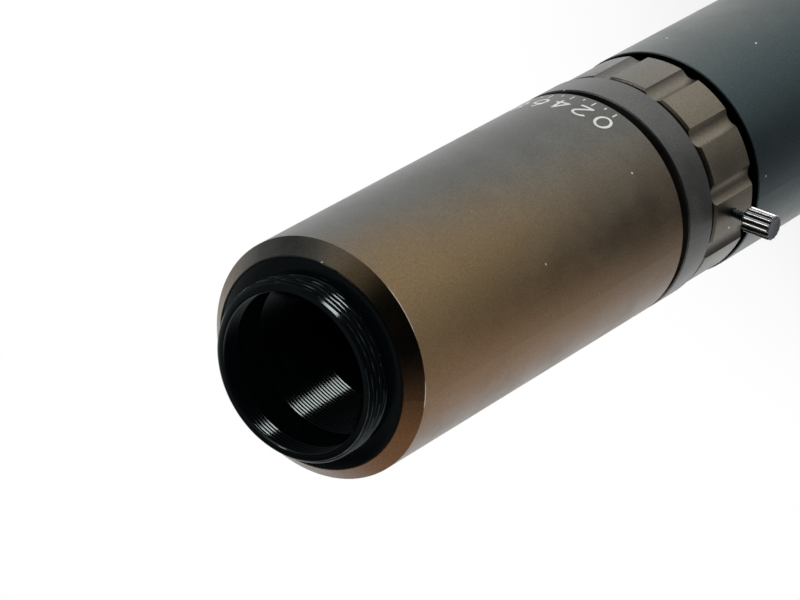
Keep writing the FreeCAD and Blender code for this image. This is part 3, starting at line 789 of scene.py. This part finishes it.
@dataclass
class TurnedMesh:
    """A turned piece made ring by ring, in millimetres."""

    name: str
    stations: list[Station]
    steps: int
    spin: Spin = Spin.OPTICAL
    centre: Vector = field(default_factory=lambda: Vector((0.0, 0.0, 0.0)))
    is_ring: bool = True
    sharp: float = 38.0

    def place(self, angle: float, radius: float, height: float) -> Vector:
        """A point of the piece.

        Args:
            angle: Its angle about the axis in radians.
            radius: Its distance from the axis in millimetres.
            height: Its place along the axis.

        Returns:
            The point in metres.
        """
        across = radius * math.cos(angle)
        deep = radius * math.sin(angle)
        if self.spin is Spin.OPTICAL:
            return (self.centre + Vector((across, deep, height))) * MM
        return (self.centre + Vector((height, across, deep))) * MM

    def make(self, body: str, slot: str, finish: bpy.types.Material) -> bpy.types.Object:
        """Builds the mesh and places it in the scene.

        Args:
            body: The body that it rides on.
            slot: Not used.
            finish: Its material.

        Returns:
            The new object.
        """
        places: list[Vector] = []
        for station in self.stations:
            for step in range(self.steps):
                angle = 2 * math.pi * step / self.steps
                radius = station.radius
                if station.pattern is not None:
                    radius -= station.share * station.pattern(angle, station.height)
                places.append(self.place(angle, radius, station.height))
        faces: list[Sequence[int]] = []
        count = len(self.stations)
        for row in range(count if self.is_ring else count - 1):
            low = row * self.steps
            high = (row + 1) % count * self.steps
            for step in range(self.steps):
                ahead = (step + 1) % self.steps
                faces.append((low + step, low + ahead, high + ahead, high + step))
        if not self.is_ring:
            faces.append(tuple(reversed(range(self.steps))))
            faces.append(tuple(range((count - 1) * self.steps, count * self.steps)))
        return add_piece(self.name, places, faces, body, finish, self.sharp)


def add_piece(
    name: str,
    places: Sequence[Vector],
    faces: Sequence[Sequence[int]],
    body: str,
    finish: bpy.types.Material,
    sharp: float,
) -> bpy.types.Object:
    """Adds a piece of the object from its points and faces.

    Args:
        name: The piece's name.
        places: Its points in metres.
        faces: Its faces as point numbers.
        body: The body that it rides on.
        finish: Its material.
        sharp: The angle in degrees above which an edge stays sharp.

    Returns:
        The new object.
    """
    mesh = bpy.data.meshes.new(name)
    mesh.from_pydata([tuple(place) for place in places], [], faces)
    mesh.validate()
    mesh.materials.append(finish)
    mesh.shade_smooth()
    mesh.set_sharp_from_angle(angle=math.radians(sharp))
    piece = bpy.data.objects.new(name, mesh)
    bpy.context.scene.collection.objects.link(piece)
    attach(piece, body)
    return piece


def dress(finish: bpy.types.Material, *nodes: str) -> None:
    """Gives CAD nodes a finish.

    Args:
        finish: The material.
        nodes: The nodes' names.
    """
    for name in nodes:
        mesh_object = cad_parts[name]
        for slot in mesh_object.material_slots:
            slot.material = finish
        log.info("%s dressed with %s", name, finish.name)


def thread_pattern(pitch: float, depth: float, bevel: float, slope: float = 1.0) -> Pattern:
    """The cut of a right-handed screw thread at an angle and a height.

    Args:
        pitch: The thread's pitch in millimetres.
        depth: The thread's depth.
        bevel: How deep the bevel beside the crest goes.
        slope: How steep that bevel is, as depth over width.

    Returns:
        A function that gives 0 on the crest and the depth in the root.
    """
    crest = pitch * CREST_SHARE
    edge = crest + bevel / slope
    root = max(pitch * ROOT_SHARE, edge + pitch * FLANK_SHARE)

    def cut(angle: float, height: float) -> float:
        """The cut at one place.

        Args:
            angle: The angle about the axis in radians.
            height: The place along the axis in millimetres.

        Returns:
            Its depth in millimetres.
        """
        share = (height / pitch - angle / (2 * math.pi)) % 1.0
        away = abs(share - 0.5) * pitch
        if away < edge:
            return max(0.0, (away - crest) * slope)
        return min(depth, bevel + (depth - bevel) * (away - edge) / (root - edge))

    return cut


def flute_pattern(count: int, depth: float, land: float = 0.14) -> Pattern:
    """The cut of straight round flutes along a head.

    Args:
        count: How many flutes there are.
        depth: A flute's depth in millimetres.
        land: How far a ridge's flat top reaches down a flute, as a share of its depth.

    Returns:
        A function that gives the depth in the middle of a flute and 0 on a ridge.
    """

    def cut(angle: float, height: float) -> float:
        """The cut at an angle, the same at every height."""
        share = (angle * count / (2 * math.pi) + 0.5) % 1.0 - 0.5
        return depth * max(0.0, math.cos(math.pi * share) - land) / (1.0 - land)

    return cut


# Sub-assemblies
@dataclass
class CameraMount:
    """The gloss black camera mount, with real thread turns and a ridged bore."""

    thread_radius: float = 12.7
    thread_pitch: float = 25.4 / 32
    thread_depth: float = 0.42
    thread_rings: int = 96
    crest_bevel: float = 0.19
    flank_slope: float = 1.43
    lead: float = 0.5
    lead_end: float = 0.04
    relief_height: float = 0.42
    relief_step: float = 0.1
    bore_radius: float = 11.25
    mouth_flare: float = 0.1
    mouth_depth: float = 0.05
    ridge_pitch: float = 0.6
    ridge_depth: float = 0.14
    ridge_crest: float = 0.30
    ridge_root: float = 0.40
    ridge_start: float = 4.25
    ridge_end: float = -15.7
    plain_top: float = 1.4
    plain_end: float = -3.1
    plain_share: float = 0.1
    stem_radius: float = 13.4
    stem_end: float = -22.5
    stem_edge: float = 0.2
    flange_radius: float = 14.75
    flange_depth: float = 3.0
    flange_edge: float = 0.16
    edge_round: float = 0.05
    rim_height: float = 4.0
    steps: int = 160
    finish: TurnedFinish = TurnedFinish(
        "gloss_black_anodise",
        (0.0008, 0.0014, 0.0018),
        (0.0016, 0.0028, 0.0034),
        metallic=0.0, smooth=0.07, rough=0.13, bump=0.2, gloss_tint=(0.84, 0.97, 1.0), reflectance=0.55,
        pitch=0.16, depth=0.002, bore_radius=11.9, bore_rough=0.1,
    )

    def thread_stations(self) -> list[Station]:
        """The rings up the threaded rim, from the relief by the flange to the lead by the lip.

        Returns:
            The rings in order.
        """
        thread = thread_pattern(self.thread_pitch, self.thread_depth, self.crest_bevel, self.flank_slope)
        lead_start = self.rim_height - self.lead / self.flank_slope
        relief = self.thread_depth

        def led_thread(angle: float, height: float) -> float:
            """The deepest of the thread's cut, the lead's and the relief's."""
            lead_cut = (height - lead_start) * self.flank_slope
            return max(thread(angle, height), lead_cut, relief - max(0.0, height - self.relief_height))

        low, high = self.relief_height, self.rim_height - self.lead_end
        rings = [
            Station(self.thread_radius - relief + self.relief_step, 0.0),
            Station(self.thread_radius - relief, self.relief_step),
        ]
        for index in range(self.thread_rings + 1):
            height = low + (high - low) * index / self.thread_rings
            rings.append(Station(self.thread_radius, height, led_thread))
        return rings

    def bore_stations(self) -> list[Station]:
        """The rings down the bore: sharp ridges, with a stretch of shallower ones a little way in.

        Returns:
            The rings in order.
        """
        flank = self.ridge_depth / self.flank_slope / self.ridge_pitch
        corners = ((0.0, 0.0), (self.ridge_crest, 0.0), (self.ridge_root, 1.0), (1.0 - flank, 1.0))
        rings = [Station(self.bore_radius + self.ridge_depth + self.mouth_flare, self.rim_height)]
        for ridge in range(int((self.ridge_start - self.ridge_end) / self.ridge_pitch)):
            start = self.ridge_start - self.ridge_pitch * ridge
            is_plain = self.plain_end < start < self.plain_top
            depth = self.ridge_depth * (self.plain_share if is_plain else 1.0)
            for share, wave in corners:
                height = start - self.ridge_pitch * share
                if height < self.rim_height - self.mouth_depth:
                    rings.append(Station(self.bore_radius + depth * wave, height))
        rings.append(Station(self.bore_radius, self.ridge_end))
        rings.append(Station(self.bore_radius, self.stem_end))
        return rings

    def stations(self) -> list[Station]:
        """All rings, from the stem's end round the outside and back down the bore.

        Returns:
            The rings in order.
        """
        outside = [
            Station(self.stem_radius - self.stem_edge, self.stem_end),
            Station(self.stem_radius, self.stem_end + self.stem_edge),
            Station(self.stem_radius, -self.flange_depth),
            Station(self.flange_radius, -self.flange_depth),
            Station(self.flange_radius, -self.flange_edge),
            Station(self.flange_radius - self.edge_round, -self.edge_round),
            Station(self.flange_radius - self.flange_edge, 0.0),
        ]
        lip = [Station(self.thread_radius - self.lead - self.edge_round, self.rim_height)]
        return outside + self.thread_stations() + lip + self.bore_stations()

    def make(self) -> None:
        """Builds the mount and lets it stand for its node."""
        turned = TurnedMesh("camera_mount", self.stations(), self.steps)
        piece = turned.make("lens_body", "gloss_black", self.finish.make())
        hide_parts("c_mount_adapter")
        log.info("camera mount: %d faces", len(piece.data.polygons))


@dataclass
class NumberScale:
    """A plain printed scale of numbers and ticks round the rear barrel, by the iris."""

    radius: float = 17.0
    ink: float = 0.006
    numbers: tuple[str, ...] = ("0", "2", "4", "6", "8")
    first_angle: float = 74.5
    step_angle: float = 12.2
    glyph_height: float = 3.0
    glyph_width: float = 2.1
    base_height: float = -62.0
    stroke: float = 0.42
    stroke_step: float = 0.15
    stroke_sunk: float = 0.03
    oval_step: float = 12.0
    tick_low: float = -64.1
    tick_high: float = -62.9
    tick_stroke: float = 0.2
    finish: GrainedFinish = GrainedFinish(
        "white_ink",
        (0.66, 0.67, 0.66),
        (0.80, 0.81, 0.80),
        metallic=0.0, smooth=0.45, rough=0.65, bump=0.2, grain_size=0.09, depth=0.002,
    )
    places: list[Vector] = field(default_factory=list)
    faces: list[Sequence[int]] = field(default_factory=list)

    def oval(
        self, middle: float, low: float, high: float, width: float, start: float, sweep: float
    ) -> list[tuple[float, float]]:
        """Points along an oval, in shares of the glyph's box.

        Args:
            middle: Its middle across.
            low: Its lowest height.
            high: Its highest height.
            width: Its half width.
            start: The angle in degrees that it starts at.
            sweep: The angle that it covers, anticlockwise.

        Returns:
            The points.
        """
        count = int(abs(sweep) / self.oval_step)
        up = (low + high) / 2
        tall = (high - low) / 2
        turns = [math.radians(start + sweep * index / count) for index in range(count + 1)]
        return [(middle + width * math.cos(turn), up + tall * math.sin(turn)) for turn in turns]

    def strokes(self, glyph: str) -> list[list[tuple[float, float]]]:
        """The strokes of a digit, in shares of its box, with 0 in the middle across.

        Args:
            glyph: The digit.

        Returns:
            A list of strokes, each a list of points.
        """
        shapes = {
            "0": [self.oval(0.0, 0.0, 1.0, 0.5, 90, 360)],
            "2": [self.oval(0.0, 0.46, 1.0, 0.48, 165, -190) + [(-0.46, 0.0)], [(-0.5, 0.0), (0.52, 0.0)]],
            "4": [[(0.22, 0.0), (0.22, 1.0), (-0.52, 0.27), (0.54, 0.27)]],
            "6": [self.oval(0.0, 0.0, 0.6, 0.48, 90, 360), [(-0.47, 0.33), (-0.30, 0.68), (0.16, 1.0)]],
            "8": [self.oval(0.0, 0.0, 0.54, 0.5, 90, 360), self.oval(0.0, 0.54, 1.0, 0.42, 270, 360)],
        }
        return shapes[glyph]

    def add_stroke(self, points: list[Vector], width: float) -> None:
        """Adds a stroke as a thin band that follows the barrel.

        Args:
            points: Its middle line, as distance round the barrel and height, in millimetres.
            width: Its width.
        """
        fine: list[Vector] = []
        for here, there in zip(points, points[1:]):
            count = max(1, math.ceil((there - here).length / self.stroke_step))
            fine += [here.lerp(there, index / count) for index in range(count)]
        fine.append(points[-1])
        first = len(self.places)
        last = len(fine) - 1
        is_loop = (fine[0] - fine[-1]).length < 1e-6
        for index, point in enumerate(fine):
            before = fine[last - 1] if is_loop and index == 0 else fine[max(index - 1, 0)]
            after = fine[1] if is_loop and index == last else fine[min(index + 1, last)]
            ahead = (after - before).normalized()
            side = Vector((-ahead.y, ahead.x)) * width / 2
            for edge in (point + side, point - side):
                for radius in (self.radius + self.ink, self.radius - self.stroke_sunk):
                    angle = math.degrees(edge.x / self.radius)
                    self.places.append(round_place(angle, radius, edge.y) * MM)
        for index in range(last):
            base = first + index * 4
            left_top, left_low, right_top, right_low = range(base, base + 4)
            self.faces += [
                (left_top, right_top, right_top + 4, left_top + 4),
                (right_top, right_low, right_low + 4, right_top + 4),
                (right_low, left_low, left_low + 4, right_low + 4),
                (left_low, left_top, left_top + 4, left_low + 4),
            ]
        if not is_loop:
            end = first + last * 4
            self.faces += [(first, first + 1, first + 3, first + 2), (end, end + 2, end + 3, end + 1)]

    def make(self) -> None:
        """Builds the numbers and ticks as one printed piece."""
        for index, glyph in enumerate(self.numbers):
            middle = math.radians(self.first_angle + self.step_angle * index) * self.radius
            for stroke in self.strokes(glyph):
                points = [
                    Vector((middle + across * self.glyph_width, self.base_height + up * self.glyph_height))
                    for across, up in stroke
                ]
                self.add_stroke(points, self.stroke)
            for share, top in ((0.0, self.tick_high), (0.5, (self.tick_low + self.tick_high) / 2)):
                if share and index == len(self.numbers) - 1:
                    continue
                around = middle + math.radians(self.step_angle * share) * self.radius
                self.add_stroke([Vector((around, self.tick_low)), Vector((around, top))], self.tick_stroke)
        piece = add_piece(
            "number_scale", self.places, self.faces, "lens_body", self.finish.make(), 60.0
        )
        log.info("number scale: %d faces", len(piece.data.polygons))


@dataclass
class RearBarrel:
    """The bronze rear barrel and what is printed on it."""

    scale: NumberScale = field(default_factory=NumberScale)
    finish: AnodisedFinish = AnodisedFinish(
        "bronze_anodise_blasted",
        (0.118, 0.121, 0.112),
        (0.142, 0.144, 0.132),
        metallic=1.0, smooth=0.30, rough=0.38, bump=0.35, gloss_tint=(0.88, 0.88, 0.89),
        # The plain grey left between the bronze bands, round 85 to 140 degrees, is partly the barrel's own
        # tint and partly a painted sheen.
        bands=(
            TintBand(middle=216.0, reach=100.0, colour=(0.205, 0.146, 0.088)),
            TintBand(middle=36.0, reach=74.0, colour=(0.218, 0.152, 0.080), twist=0.42, far_share=0.45),
            TintBand(middle=-3.0, reach=36.0, colour=(0.198, 0.119, 0.061), far_share=0.6),
            TintBand(middle=-50.0, reach=46.0, colour=(0.196, 0.148, 0.110)),
            TintBand(middle=-28.0, reach=62.0, colour=(0.160, 0.078, 0.036), rim=-2.0),
            # Painted shade: this near-black band on the end chamfer round 40 degrees stands in for the
            # chamfer's dark reflection there.
            TintBand(middle=40.0, reach=40.0, colour=(0.040, 0.034, 0.024), patches=8.0, rim=-2.0),
        ),
        arcs=(
            WornArc(height=-2.0, radius=17.0, middle=43.0, reach=15.0, width=0.16, cover=0.85),
            WornArc(height=-2.0, radius=17.0, middle=3.0, reach=8.0, width=0.15, cover=0.85),
            WornArc(height=-2.0, radius=17.0, middle=60.0, reach=60.0, width=0.05, cover=0.36),
            WornArc(height=0.0, radius=14.85, middle=78.0, reach=14.0, width=0.09, cover=0.62),
        ),
        # The speck at 88 degrees on the end's inner edge is a nick painted as a bright highlight.
        specks=((45.5, 17.0, -57.35), (28.9, 17.0, -32.1), (88.0, 15.0, 0.0)),
    )

    def make(self) -> None:
        """Dresses the barrel and prints its scale."""
        dress(self.finish.make(), "rear_barrel")
        self.scale.make()


@dataclass
class IrisUnit:
    """The iris housing, the grip ring and the parts of the iris."""

    housing: AnodisedFinish = AnodisedFinish(
        "slate_anodise_housing",
        (0.108, 0.110, 0.107),
        (0.130, 0.131, 0.127),
        metallic=1.0, smooth=0.32, rough=0.40, bump=0.3,
        arcs=(WornArc(height=-72.75, radius=17.0, middle=70.0, reach=120.0, width=0.06, cover=0.42),),
        specks=((110.6, 17.0, -66.6),),
    )
    grip: AnodisedFinish = AnodisedFinish(
        "slate_anodise_grip",
        (0.132, 0.130, 0.120),
        (0.158, 0.154, 0.142),
        metallic=1.0, smooth=0.30, rough=0.38, bump=0.3,
        bands=(TintBand(middle=38.0, reach=75.0, colour=(0.225, 0.196, 0.150)),),
        arcs=(WornArc(height=-73.95, radius=16.7, middle=75.0, reach=30.0, width=0.05, cover=0.40),),
        # This speck on the scallop's edge below the screw is a painted glint.
        specks=((-6.84, 16.8, -78.18),),
    )
    black: TurnedFinish = TurnedFinish(
        "matt_black_anodise",
        (0.010, 0.010, 0.011),
        (0.020, 0.020, 0.021),
        metallic=0.0, smooth=0.45, rough=0.6, bump=0.3, pitch=0.14,
    )
    brass: TurnedFinish = TurnedFinish(
        "turned_brass",
        (0.50, 0.36, 0.15),
        (0.60, 0.46, 0.22),
        metallic=1.0, smooth=0.22, rough=0.36, bump=0.3, pitch=0.1, depth=0.003,
    )
    steel: TurnedFinish = TurnedFinish(
        "black_oxide_steel",
        (0.020, 0.021, 0.023),
        (0.034, 0.036, 0.038),
        metallic=1.0, smooth=0.26, rough=0.36, bump=0.3, pitch=0.08, depth=0.003,
    )
    blades: GrainedFinish = GrainedFinish(
        "blackened_blade_steel",
        (0.030, 0.030, 0.032),
        (0.052, 0.052, 0.054),
        metallic=1.0, smooth=0.34, rough=0.5, bump=0.25, grain_size=0.08, depth=0.002,
    )
    blade_count: int = 8

    def make(self) -> bpy.types.Material:
        """Dresses the iris and its housing.

        Returns:
            The matt black finish, which the lens rings share.
        """
        dress(self.housing.make(), "iris_housing")
        dress(self.grip.make(), "grip_ring")
        matt_black = self.black.make()
        dress(matt_black, "iris_base_plate", "iris_retaining_ring")
        dress(self.brass.make(), "cam_ring")
        dress(self.steel.make(), "drive_screw")
        dress(self.blades.make(), *[f"iris_blade_{index + 1}" for index in range(self.blade_count)])
        return matt_black


@dataclass
class LockScrew:
    """The black thumbscrew that locks the grip ring, with its thread and flutes cut, and its pad."""

    height: float = -78.925
    tip: float = 15.02
    head_base: float = 19.1
    head_end: float = 23.55
    thread_radius: float = 0.8
    thread_pitch: float = 0.35
    thread_depth: float = 0.18
    crest_bevel: float = 0.05
    rings_per_turn: int = 9
    tip_length: float = 0.12
    tip_inset: float = 0.2
    core_inset: float = 0.19
    core_gap: float = 0.02
    neck_length: float = 0.22
    neck_inset: float = 0.14
    neck_gap: float = 0.06
    head_radius: float = 1.9
    flute_count: int = 14
    flute_depth: float = 0.26
    head_rings: int = 24
    head_rims: tuple[tuple[float, float, float], ...] = (
        (0.0, 0.2, 0.30), (0.03, 0.10, 0.62), (0.10, 0.03, 0.90), (0.2, 0.0, 1.0),
    )
    end_inset: float = 0.48
    dish_inset: float = 0.60
    dish_depth: float = 0.015
    steps: int = 224
    finish: GrainedFinish = GrainedFinish(
        "black_oxide_screw",
        (0.090, 0.100, 0.112),
        (0.130, 0.142, 0.156),
        metallic=1.0, smooth=0.12, rough=0.20, bump=0.15, depth=0.001, crest_radius=1.84, spin_height=-78.925,
    )
    pad: GrainedFinish = GrainedFinish(
        "nylon_pad",
        (0.66, 0.65, 0.61),
        (0.76, 0.75, 0.71),
        metallic=0.0, smooth=0.4, rough=0.55, bump=0.2, depth=0.003,
    )

    def shank(self) -> list[Station]:
        """The rings of the threaded shank, with a lead at the tip and a plain neck at the head.

        Returns:
            The rings in order.
        """
        pattern = thread_pattern(self.thread_pitch, self.thread_depth, self.crest_bevel)
        low = self.tip + self.tip_length
        high = self.head_base - self.neck_length
        count = int((high - low) / self.thread_pitch * self.rings_per_turn)
        rings = [
            Station(self.thread_radius - self.tip_inset, self.tip),
            Station(self.thread_radius - self.core_inset, low - self.core_gap),
        ]
        for index in range(count + 1):
            height = low + (high - low) * index / count
            rings.append(Station(self.thread_radius, height, pattern))
        neck = self.thread_radius - self.neck_inset
        rings += [Station(neck, high + self.neck_gap), Station(neck, self.head_base)]
        return rings

    def head(self) -> list[Station]:
        """The rings of the fluted head, with rounded rims and a flat end.

        A rim's ring has its place along the head, how far it is set in, and its share of the flutes' depth.

        Returns:
            The rings in order.
        """
        pattern = flute_pattern(self.flute_count, self.flute_depth)
        full = self.head_radius
        base, end = self.head_base, self.head_end
        rim = self.head_rims[-1][0]
        rings = [Station(full - inset, base + rise, pattern, share) for rise, inset, share in self.head_rims]
        for index in range(1, self.head_rings):
            height = base + rim + (end - base - 2 * rim) * index / self.head_rings
            rings.append(Station(full, height, pattern))
        for rise, inset, share in reversed(self.head_rims):
            rings.append(Station(full - inset, end - rise, pattern, share))
        rings += [Station(full - self.end_inset, end), Station(full - self.dish_inset, end - self.dish_depth)]
        return rings

    def make(self) -> None:
        """Builds the screw, lets it stand for its node, and dresses its pad."""
        centre = Vector((0.0, 0.0, self.height))
        stations = self.shank() + self.head()
        turned = TurnedMesh("thumbscrew", stations, self.steps, Spin.SCREW, centre, is_ring=False)
        piece = turned.make("lock_screw", "dark_steel", self.finish.make())
        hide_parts("lock_screw")
        dress(self.pad.make(), "lock_pad")
        log.info("thumbscrew: %d faces", len(piece.data.polygons))


@dataclass
class FrontBarrel:
    """The slate front barrel."""

    finish: AnodisedFinish = AnodisedFinish(
        "slate_anodise_blasted",
        (0.092, 0.108, 0.106),
        (0.112, 0.130, 0.126),
        metallic=1.0, smooth=0.32, rough=0.40, bump=0.3,
        bands=(
            TintBand(middle=30.0, reach=75.0, colour=(0.067, 0.094, 0.100)),
            # Painted shade: this near-black band over the barrel's rear end face and nose, above -85.3 mm,
            # stands in for the shade in the groove by the grip ring.
            TintBand(middle=0.0, reach=720.0, colour=(0.008, 0.008, 0.009), rim=-85.3),
        ),
        arcs=(
            WornArc(height=-85.25, radius=16.9, middle=60.0, reach=120.0, width=0.08, cover=0.40),
            WornArc(height=-160.0, radius=16.2, middle=120.0, reach=170.0, width=0.10, cover=0.42),
        ),
        specks=((107.1, 17.0, -92.23), (72.0, 17.0, -100.38), (10.4, 17.0, -87.21)),
    )

    def make(self) -> None:
        """Dresses the barrel."""
        dress(self.finish.make(), "front_barrel")


@dataclass
class LensGroups:
    """The glass lenses, and the rings and spacer that hold them."""

    glass: GlassFinish = GlassFinish(
        "coated_glass_lens", (0.86, 0.93, 0.90), (0.93, 0.96, 0.95), metallic=0.0, smooth=0.0, rough=0.05,
    )
    lenses: tuple[str, ...] = (
        "rear_flint_lens", "rear_crown_lens", "rear_meniscus_lens",
        "middle_lens", "front_flint_lens", "front_crown_lens",
    )
    rings: tuple[str, ...] = (
        "rear_spacer", "rear_retaining_ring", "middle_retaining_ring", "front_retaining_ring",
    )

    def make(self, matt_black: bpy.types.Material) -> None:
        """Dresses the lenses and rings.

        Args:
            matt_black: The finish of the rings.
        """
        dress(self.glass.make(), *self.lenses)
        dress(matt_black, *self.rings)


# Studio
@dataclass
class SoftLamp:
    """A large soft lamp that faces the lens."""

    name: str
    towards: tuple[float, float, float]
    distance: float
    width: float
    height: float
    power: float
    colour: Colour = (1.0, 1.0, 1.0)

    def make(self, aim: Vector) -> None:
        """Places the lamp.

        Args:
            aim: The point that it faces.
        """
        lamp = bpy.data.lights.new(self.name, "AREA")
        lamp.shape = "RECTANGLE"
        lamp.size = self.width
        lamp.size_y = self.height
        lamp.energy = self.power
        lamp.color = self.colour
        holder = bpy.data.objects.new(self.name, lamp)
        direction = Vector(self.towards).normalized()
        holder.location = aim + direction * self.distance
        holder.rotation_euler = direction.to_track_quat("Z", "Y").to_euler()
        bpy.context.scene.collection.objects.link(holder)


@dataclass(frozen=True)
class RoomShade:
    """A side of the room that metal sees darker, by the cosine of the angle to it."""

    towards: tuple[float, float, float]
    start: float
    full: float
    level: float


@dataclass
class Studio:
    """The camera, the pale floor, the soft lamps and the room round them."""

    camera_place: tuple[float, float, float] = (0.293952, 0.274062, 0.429547)
    camera_right: tuple[float, float, float] = (0.81219905, 0.07783631, -0.57816452)
    camera_up: tuple[float, float, float] = (-0.3194075, 0.88864811, -0.32906442)
    camera_back: tuple[float, float, float] = (0.48817165, 0.45193589, 0.74662065)
    focal_length: float = 201.875
    sensor_width: float = 36.0
    clip_start: float = 0.01
    clip_end: float = 50.0
    aim: Vector = field(default_factory=lambda: Vector((0.0, 0.0, -0.04)))
    floor_radius: float = 3.0
    floor_steps: int = 96
    floor_gap: float = 0.00002
    floor_colour: Colour = (0.93, 0.93, 0.93)
    shade_centre: Vector = field(default_factory=lambda: Vector((91.0, 11.0, -160.0)))
    shade_reach: float = 133.0
    shade_depths: tuple[float, float] = (0.96, 0.06)
    shadow_reach: tuple[float, float] = (15.0, 80.0)
    white_shares: tuple[float, float] = (0.5, 0.985)
    room_level: float = 0.95
    room_shades: tuple[RoomShade, ...] = (
        RoomShade((0.0, 0.0, 1.0), start=0.30, full=0.76, level=0.09),
        RoomShade((0.60, 0.36, 0.71), start=0.30, full=0.80, level=0.0),
        RoomShade((-0.94, 0.32, 0.15), start=0.55, full=0.95, level=0.2),
        RoomShade((-0.43, -0.79, 0.44), start=0.88, full=0.96, level=0.1),
    )
    lamps: tuple[SoftLamp, ...] = (
        SoftLamp(
            "upper_softbox",
            towards=(-0.048, 0.525, 0.850), distance=0.934,
            width=0.21, height=0.10, power=0.86, colour=(1.0, 0.98, 0.93),
        ),
        SoftLamp(
            "left_softbox",
            towards=(-0.41, 0.91, 0.01), distance=0.89,
            width=0.15, height=0.52, power=1.0, colour=(1.0, 0.98, 0.95),
        ),
    )

    def make_camera(self) -> None:
        """Places the camera where the photograph was taken from."""
        camera = bpy.data.cameras.new("camera")
        camera.sensor_width = self.sensor_width
        camera.lens = self.focal_length
        camera.clip_start = self.clip_start
        camera.clip_end = self.clip_end
        holder = bpy.data.objects.new("camera", camera)
        columns = [Vector(side) for side in (self.camera_right, self.camera_up, self.camera_back)]
        turn = Matrix(columns).transposed().to_4x4()
        holder.matrix_world = Matrix.Translation(Vector(self.camera_place)) @ turn
        bpy.context.scene.collection.objects.link(holder)
        bpy.context.scene.camera = holder

    def floor_finish(self) -> bpy.types.Material:
        """The pale floor's material: matt with a white glow, and a shade that only metal sees.

        Returns:
            The material, clear when seen from below.
        """
        material = bpy.data.materials.new("pale_floor")
        material.use_nodes = True
        graph = Graph(material.node_tree)
        material.node_tree.nodes.clear()
        output = graph.node("ShaderNodeOutputMaterial")
        matt = graph.node("ShaderNodeBsdfDiffuse")
        matt.inputs["Color"].default_value = (*self.floor_colour, 1.0)
        white = graph.node("ShaderNodeEmission")
        mixed = graph.node("ShaderNodeMixShader")
        path = graph.node("ShaderNodeLightPath")
        off_metal = path.outputs["Is Glossy Ray"]
        away = graph.distance(graph.object_place(), self.shade_centre)
        shade = graph.fade(away, 0.0, self.shade_reach, *self.shade_depths)
        shaded = graph.calc("MULTIPLY", off_metal, shade)
        graph.feed(white.inputs["Strength"], graph.calc("SUBTRACT", 1.0, shaded))
        seen = graph.calc("MAXIMUM", path.outputs["Is Camera Ray"], path.outputs["Is Transmission Ray"])
        base = Vector((0.0, 0.0, CAD_BOX[0][2] / MM))
        away = graph.distance(graph.object_place(), base)
        white_share = graph.fade(away, *self.shadow_reach, *self.white_shares)
        shown = graph.calc("MULTIPLY", seen, white_share)
        graph.feed(mixed.inputs[0], graph.calc("MAXIMUM", shown, off_metal))
        graph.feed(mixed.inputs[1], matt.outputs[0])
        graph.feed(mixed.inputs[2], white.outputs[0])
        clear = graph.node("ShaderNodeBsdfTransparent")
        sided = graph.node("ShaderNodeMixShader")
        graph.feed(sided.inputs[0], graph.node("ShaderNodeNewGeometry").outputs["Backfacing"])
        graph.feed(sided.inputs[1], mixed.outputs[0])
        graph.feed(sided.inputs[2], clear.outputs[0])
        graph.feed(output.inputs["Surface"], sided.outputs[0])
        return material

    def make_floor(self) -> None:
        """Lays the pale floor just under the lens."""
        level = CAD_BOX[0][2] - self.floor_gap
        turns = [2 * math.pi * step / self.floor_steps for step in range(self.floor_steps)]
        places = [
            (self.floor_radius * math.cos(turn), self.floor_radius * math.sin(turn), level) for turn in turns
        ]
        mesh = bpy.data.meshes.new("floor")
        mesh.from_pydata(places, [], [tuple(range(self.floor_steps))])
        mesh.materials.append(self.floor_finish())
        floor = bpy.data.objects.new("floor", mesh)
        bpy.context.scene.collection.objects.link(floor)

    def make_room(self) -> None:
        """Sets the room: white behind the lens, and dim where metal looks up or towards the camera."""
        world = bpy.data.worlds.new("room")
        world.use_nodes = True
        bpy.context.scene.world = world
        graph = Graph(world.node_tree)
        world.node_tree.nodes.clear()
        output = graph.node("ShaderNodeOutputWorld")
        background = graph.node("ShaderNodeBackground")
        graph.feed(output.inputs["Surface"], background.outputs[0])
        direction = graph.node("ShaderNodeTexCoord").outputs["Generated"]
        tone: Number = 1.0
        for shade in self.room_shades:
            towards = graph.along(direction, Vector(shade.towards))
            side = graph.fade(towards, shade.start, shade.full, 1.0, shade.level)
            tone = graph.calc("MULTIPLY", tone, side)
        path = graph.node("ShaderNodeLightPath")
        diffuse = path.outputs["Is Diffuse Ray"]
        off_metal = path.outputs["Is Glossy Ray"]
        level = graph.calc("SUBTRACT", 1.0, graph.calc("MULTIPLY", diffuse, 1.0 - self.room_level))
        dimmed = graph.calc("MULTIPLY", off_metal, graph.calc("SUBTRACT", 1.0, tone))
        shown = graph.calc("SUBTRACT", 1.0, dimmed)
        graph.feed(background.inputs["Strength"], graph.calc("MULTIPLY", level, shown))

    def make(self) -> None:
        """Sets up the studio."""
        scene = bpy.context.scene
        scene.view_settings.view_transform = "Standard"
        self.make_camera()
        self.make_floor()
        self.make_room()
        for lamp in self.lamps:
            lamp.make(self.aim)
        log.info("studio: %d lamps", len(self.lamps))


def main() -> None:
    """Builds the studio and each sub-assembly in order."""
    logging.basicConfig(level=logging.INFO, format="%(name)s: %(message)s")
    Studio().make()
    RearBarrel().make()
    CameraMount().make()
    matt_black = IrisUnit().make()
    LockScrew().make()
    FrontBarrel().make()
    LensGroups().make(matt_black)


if __name__ == "__main__":
    main()
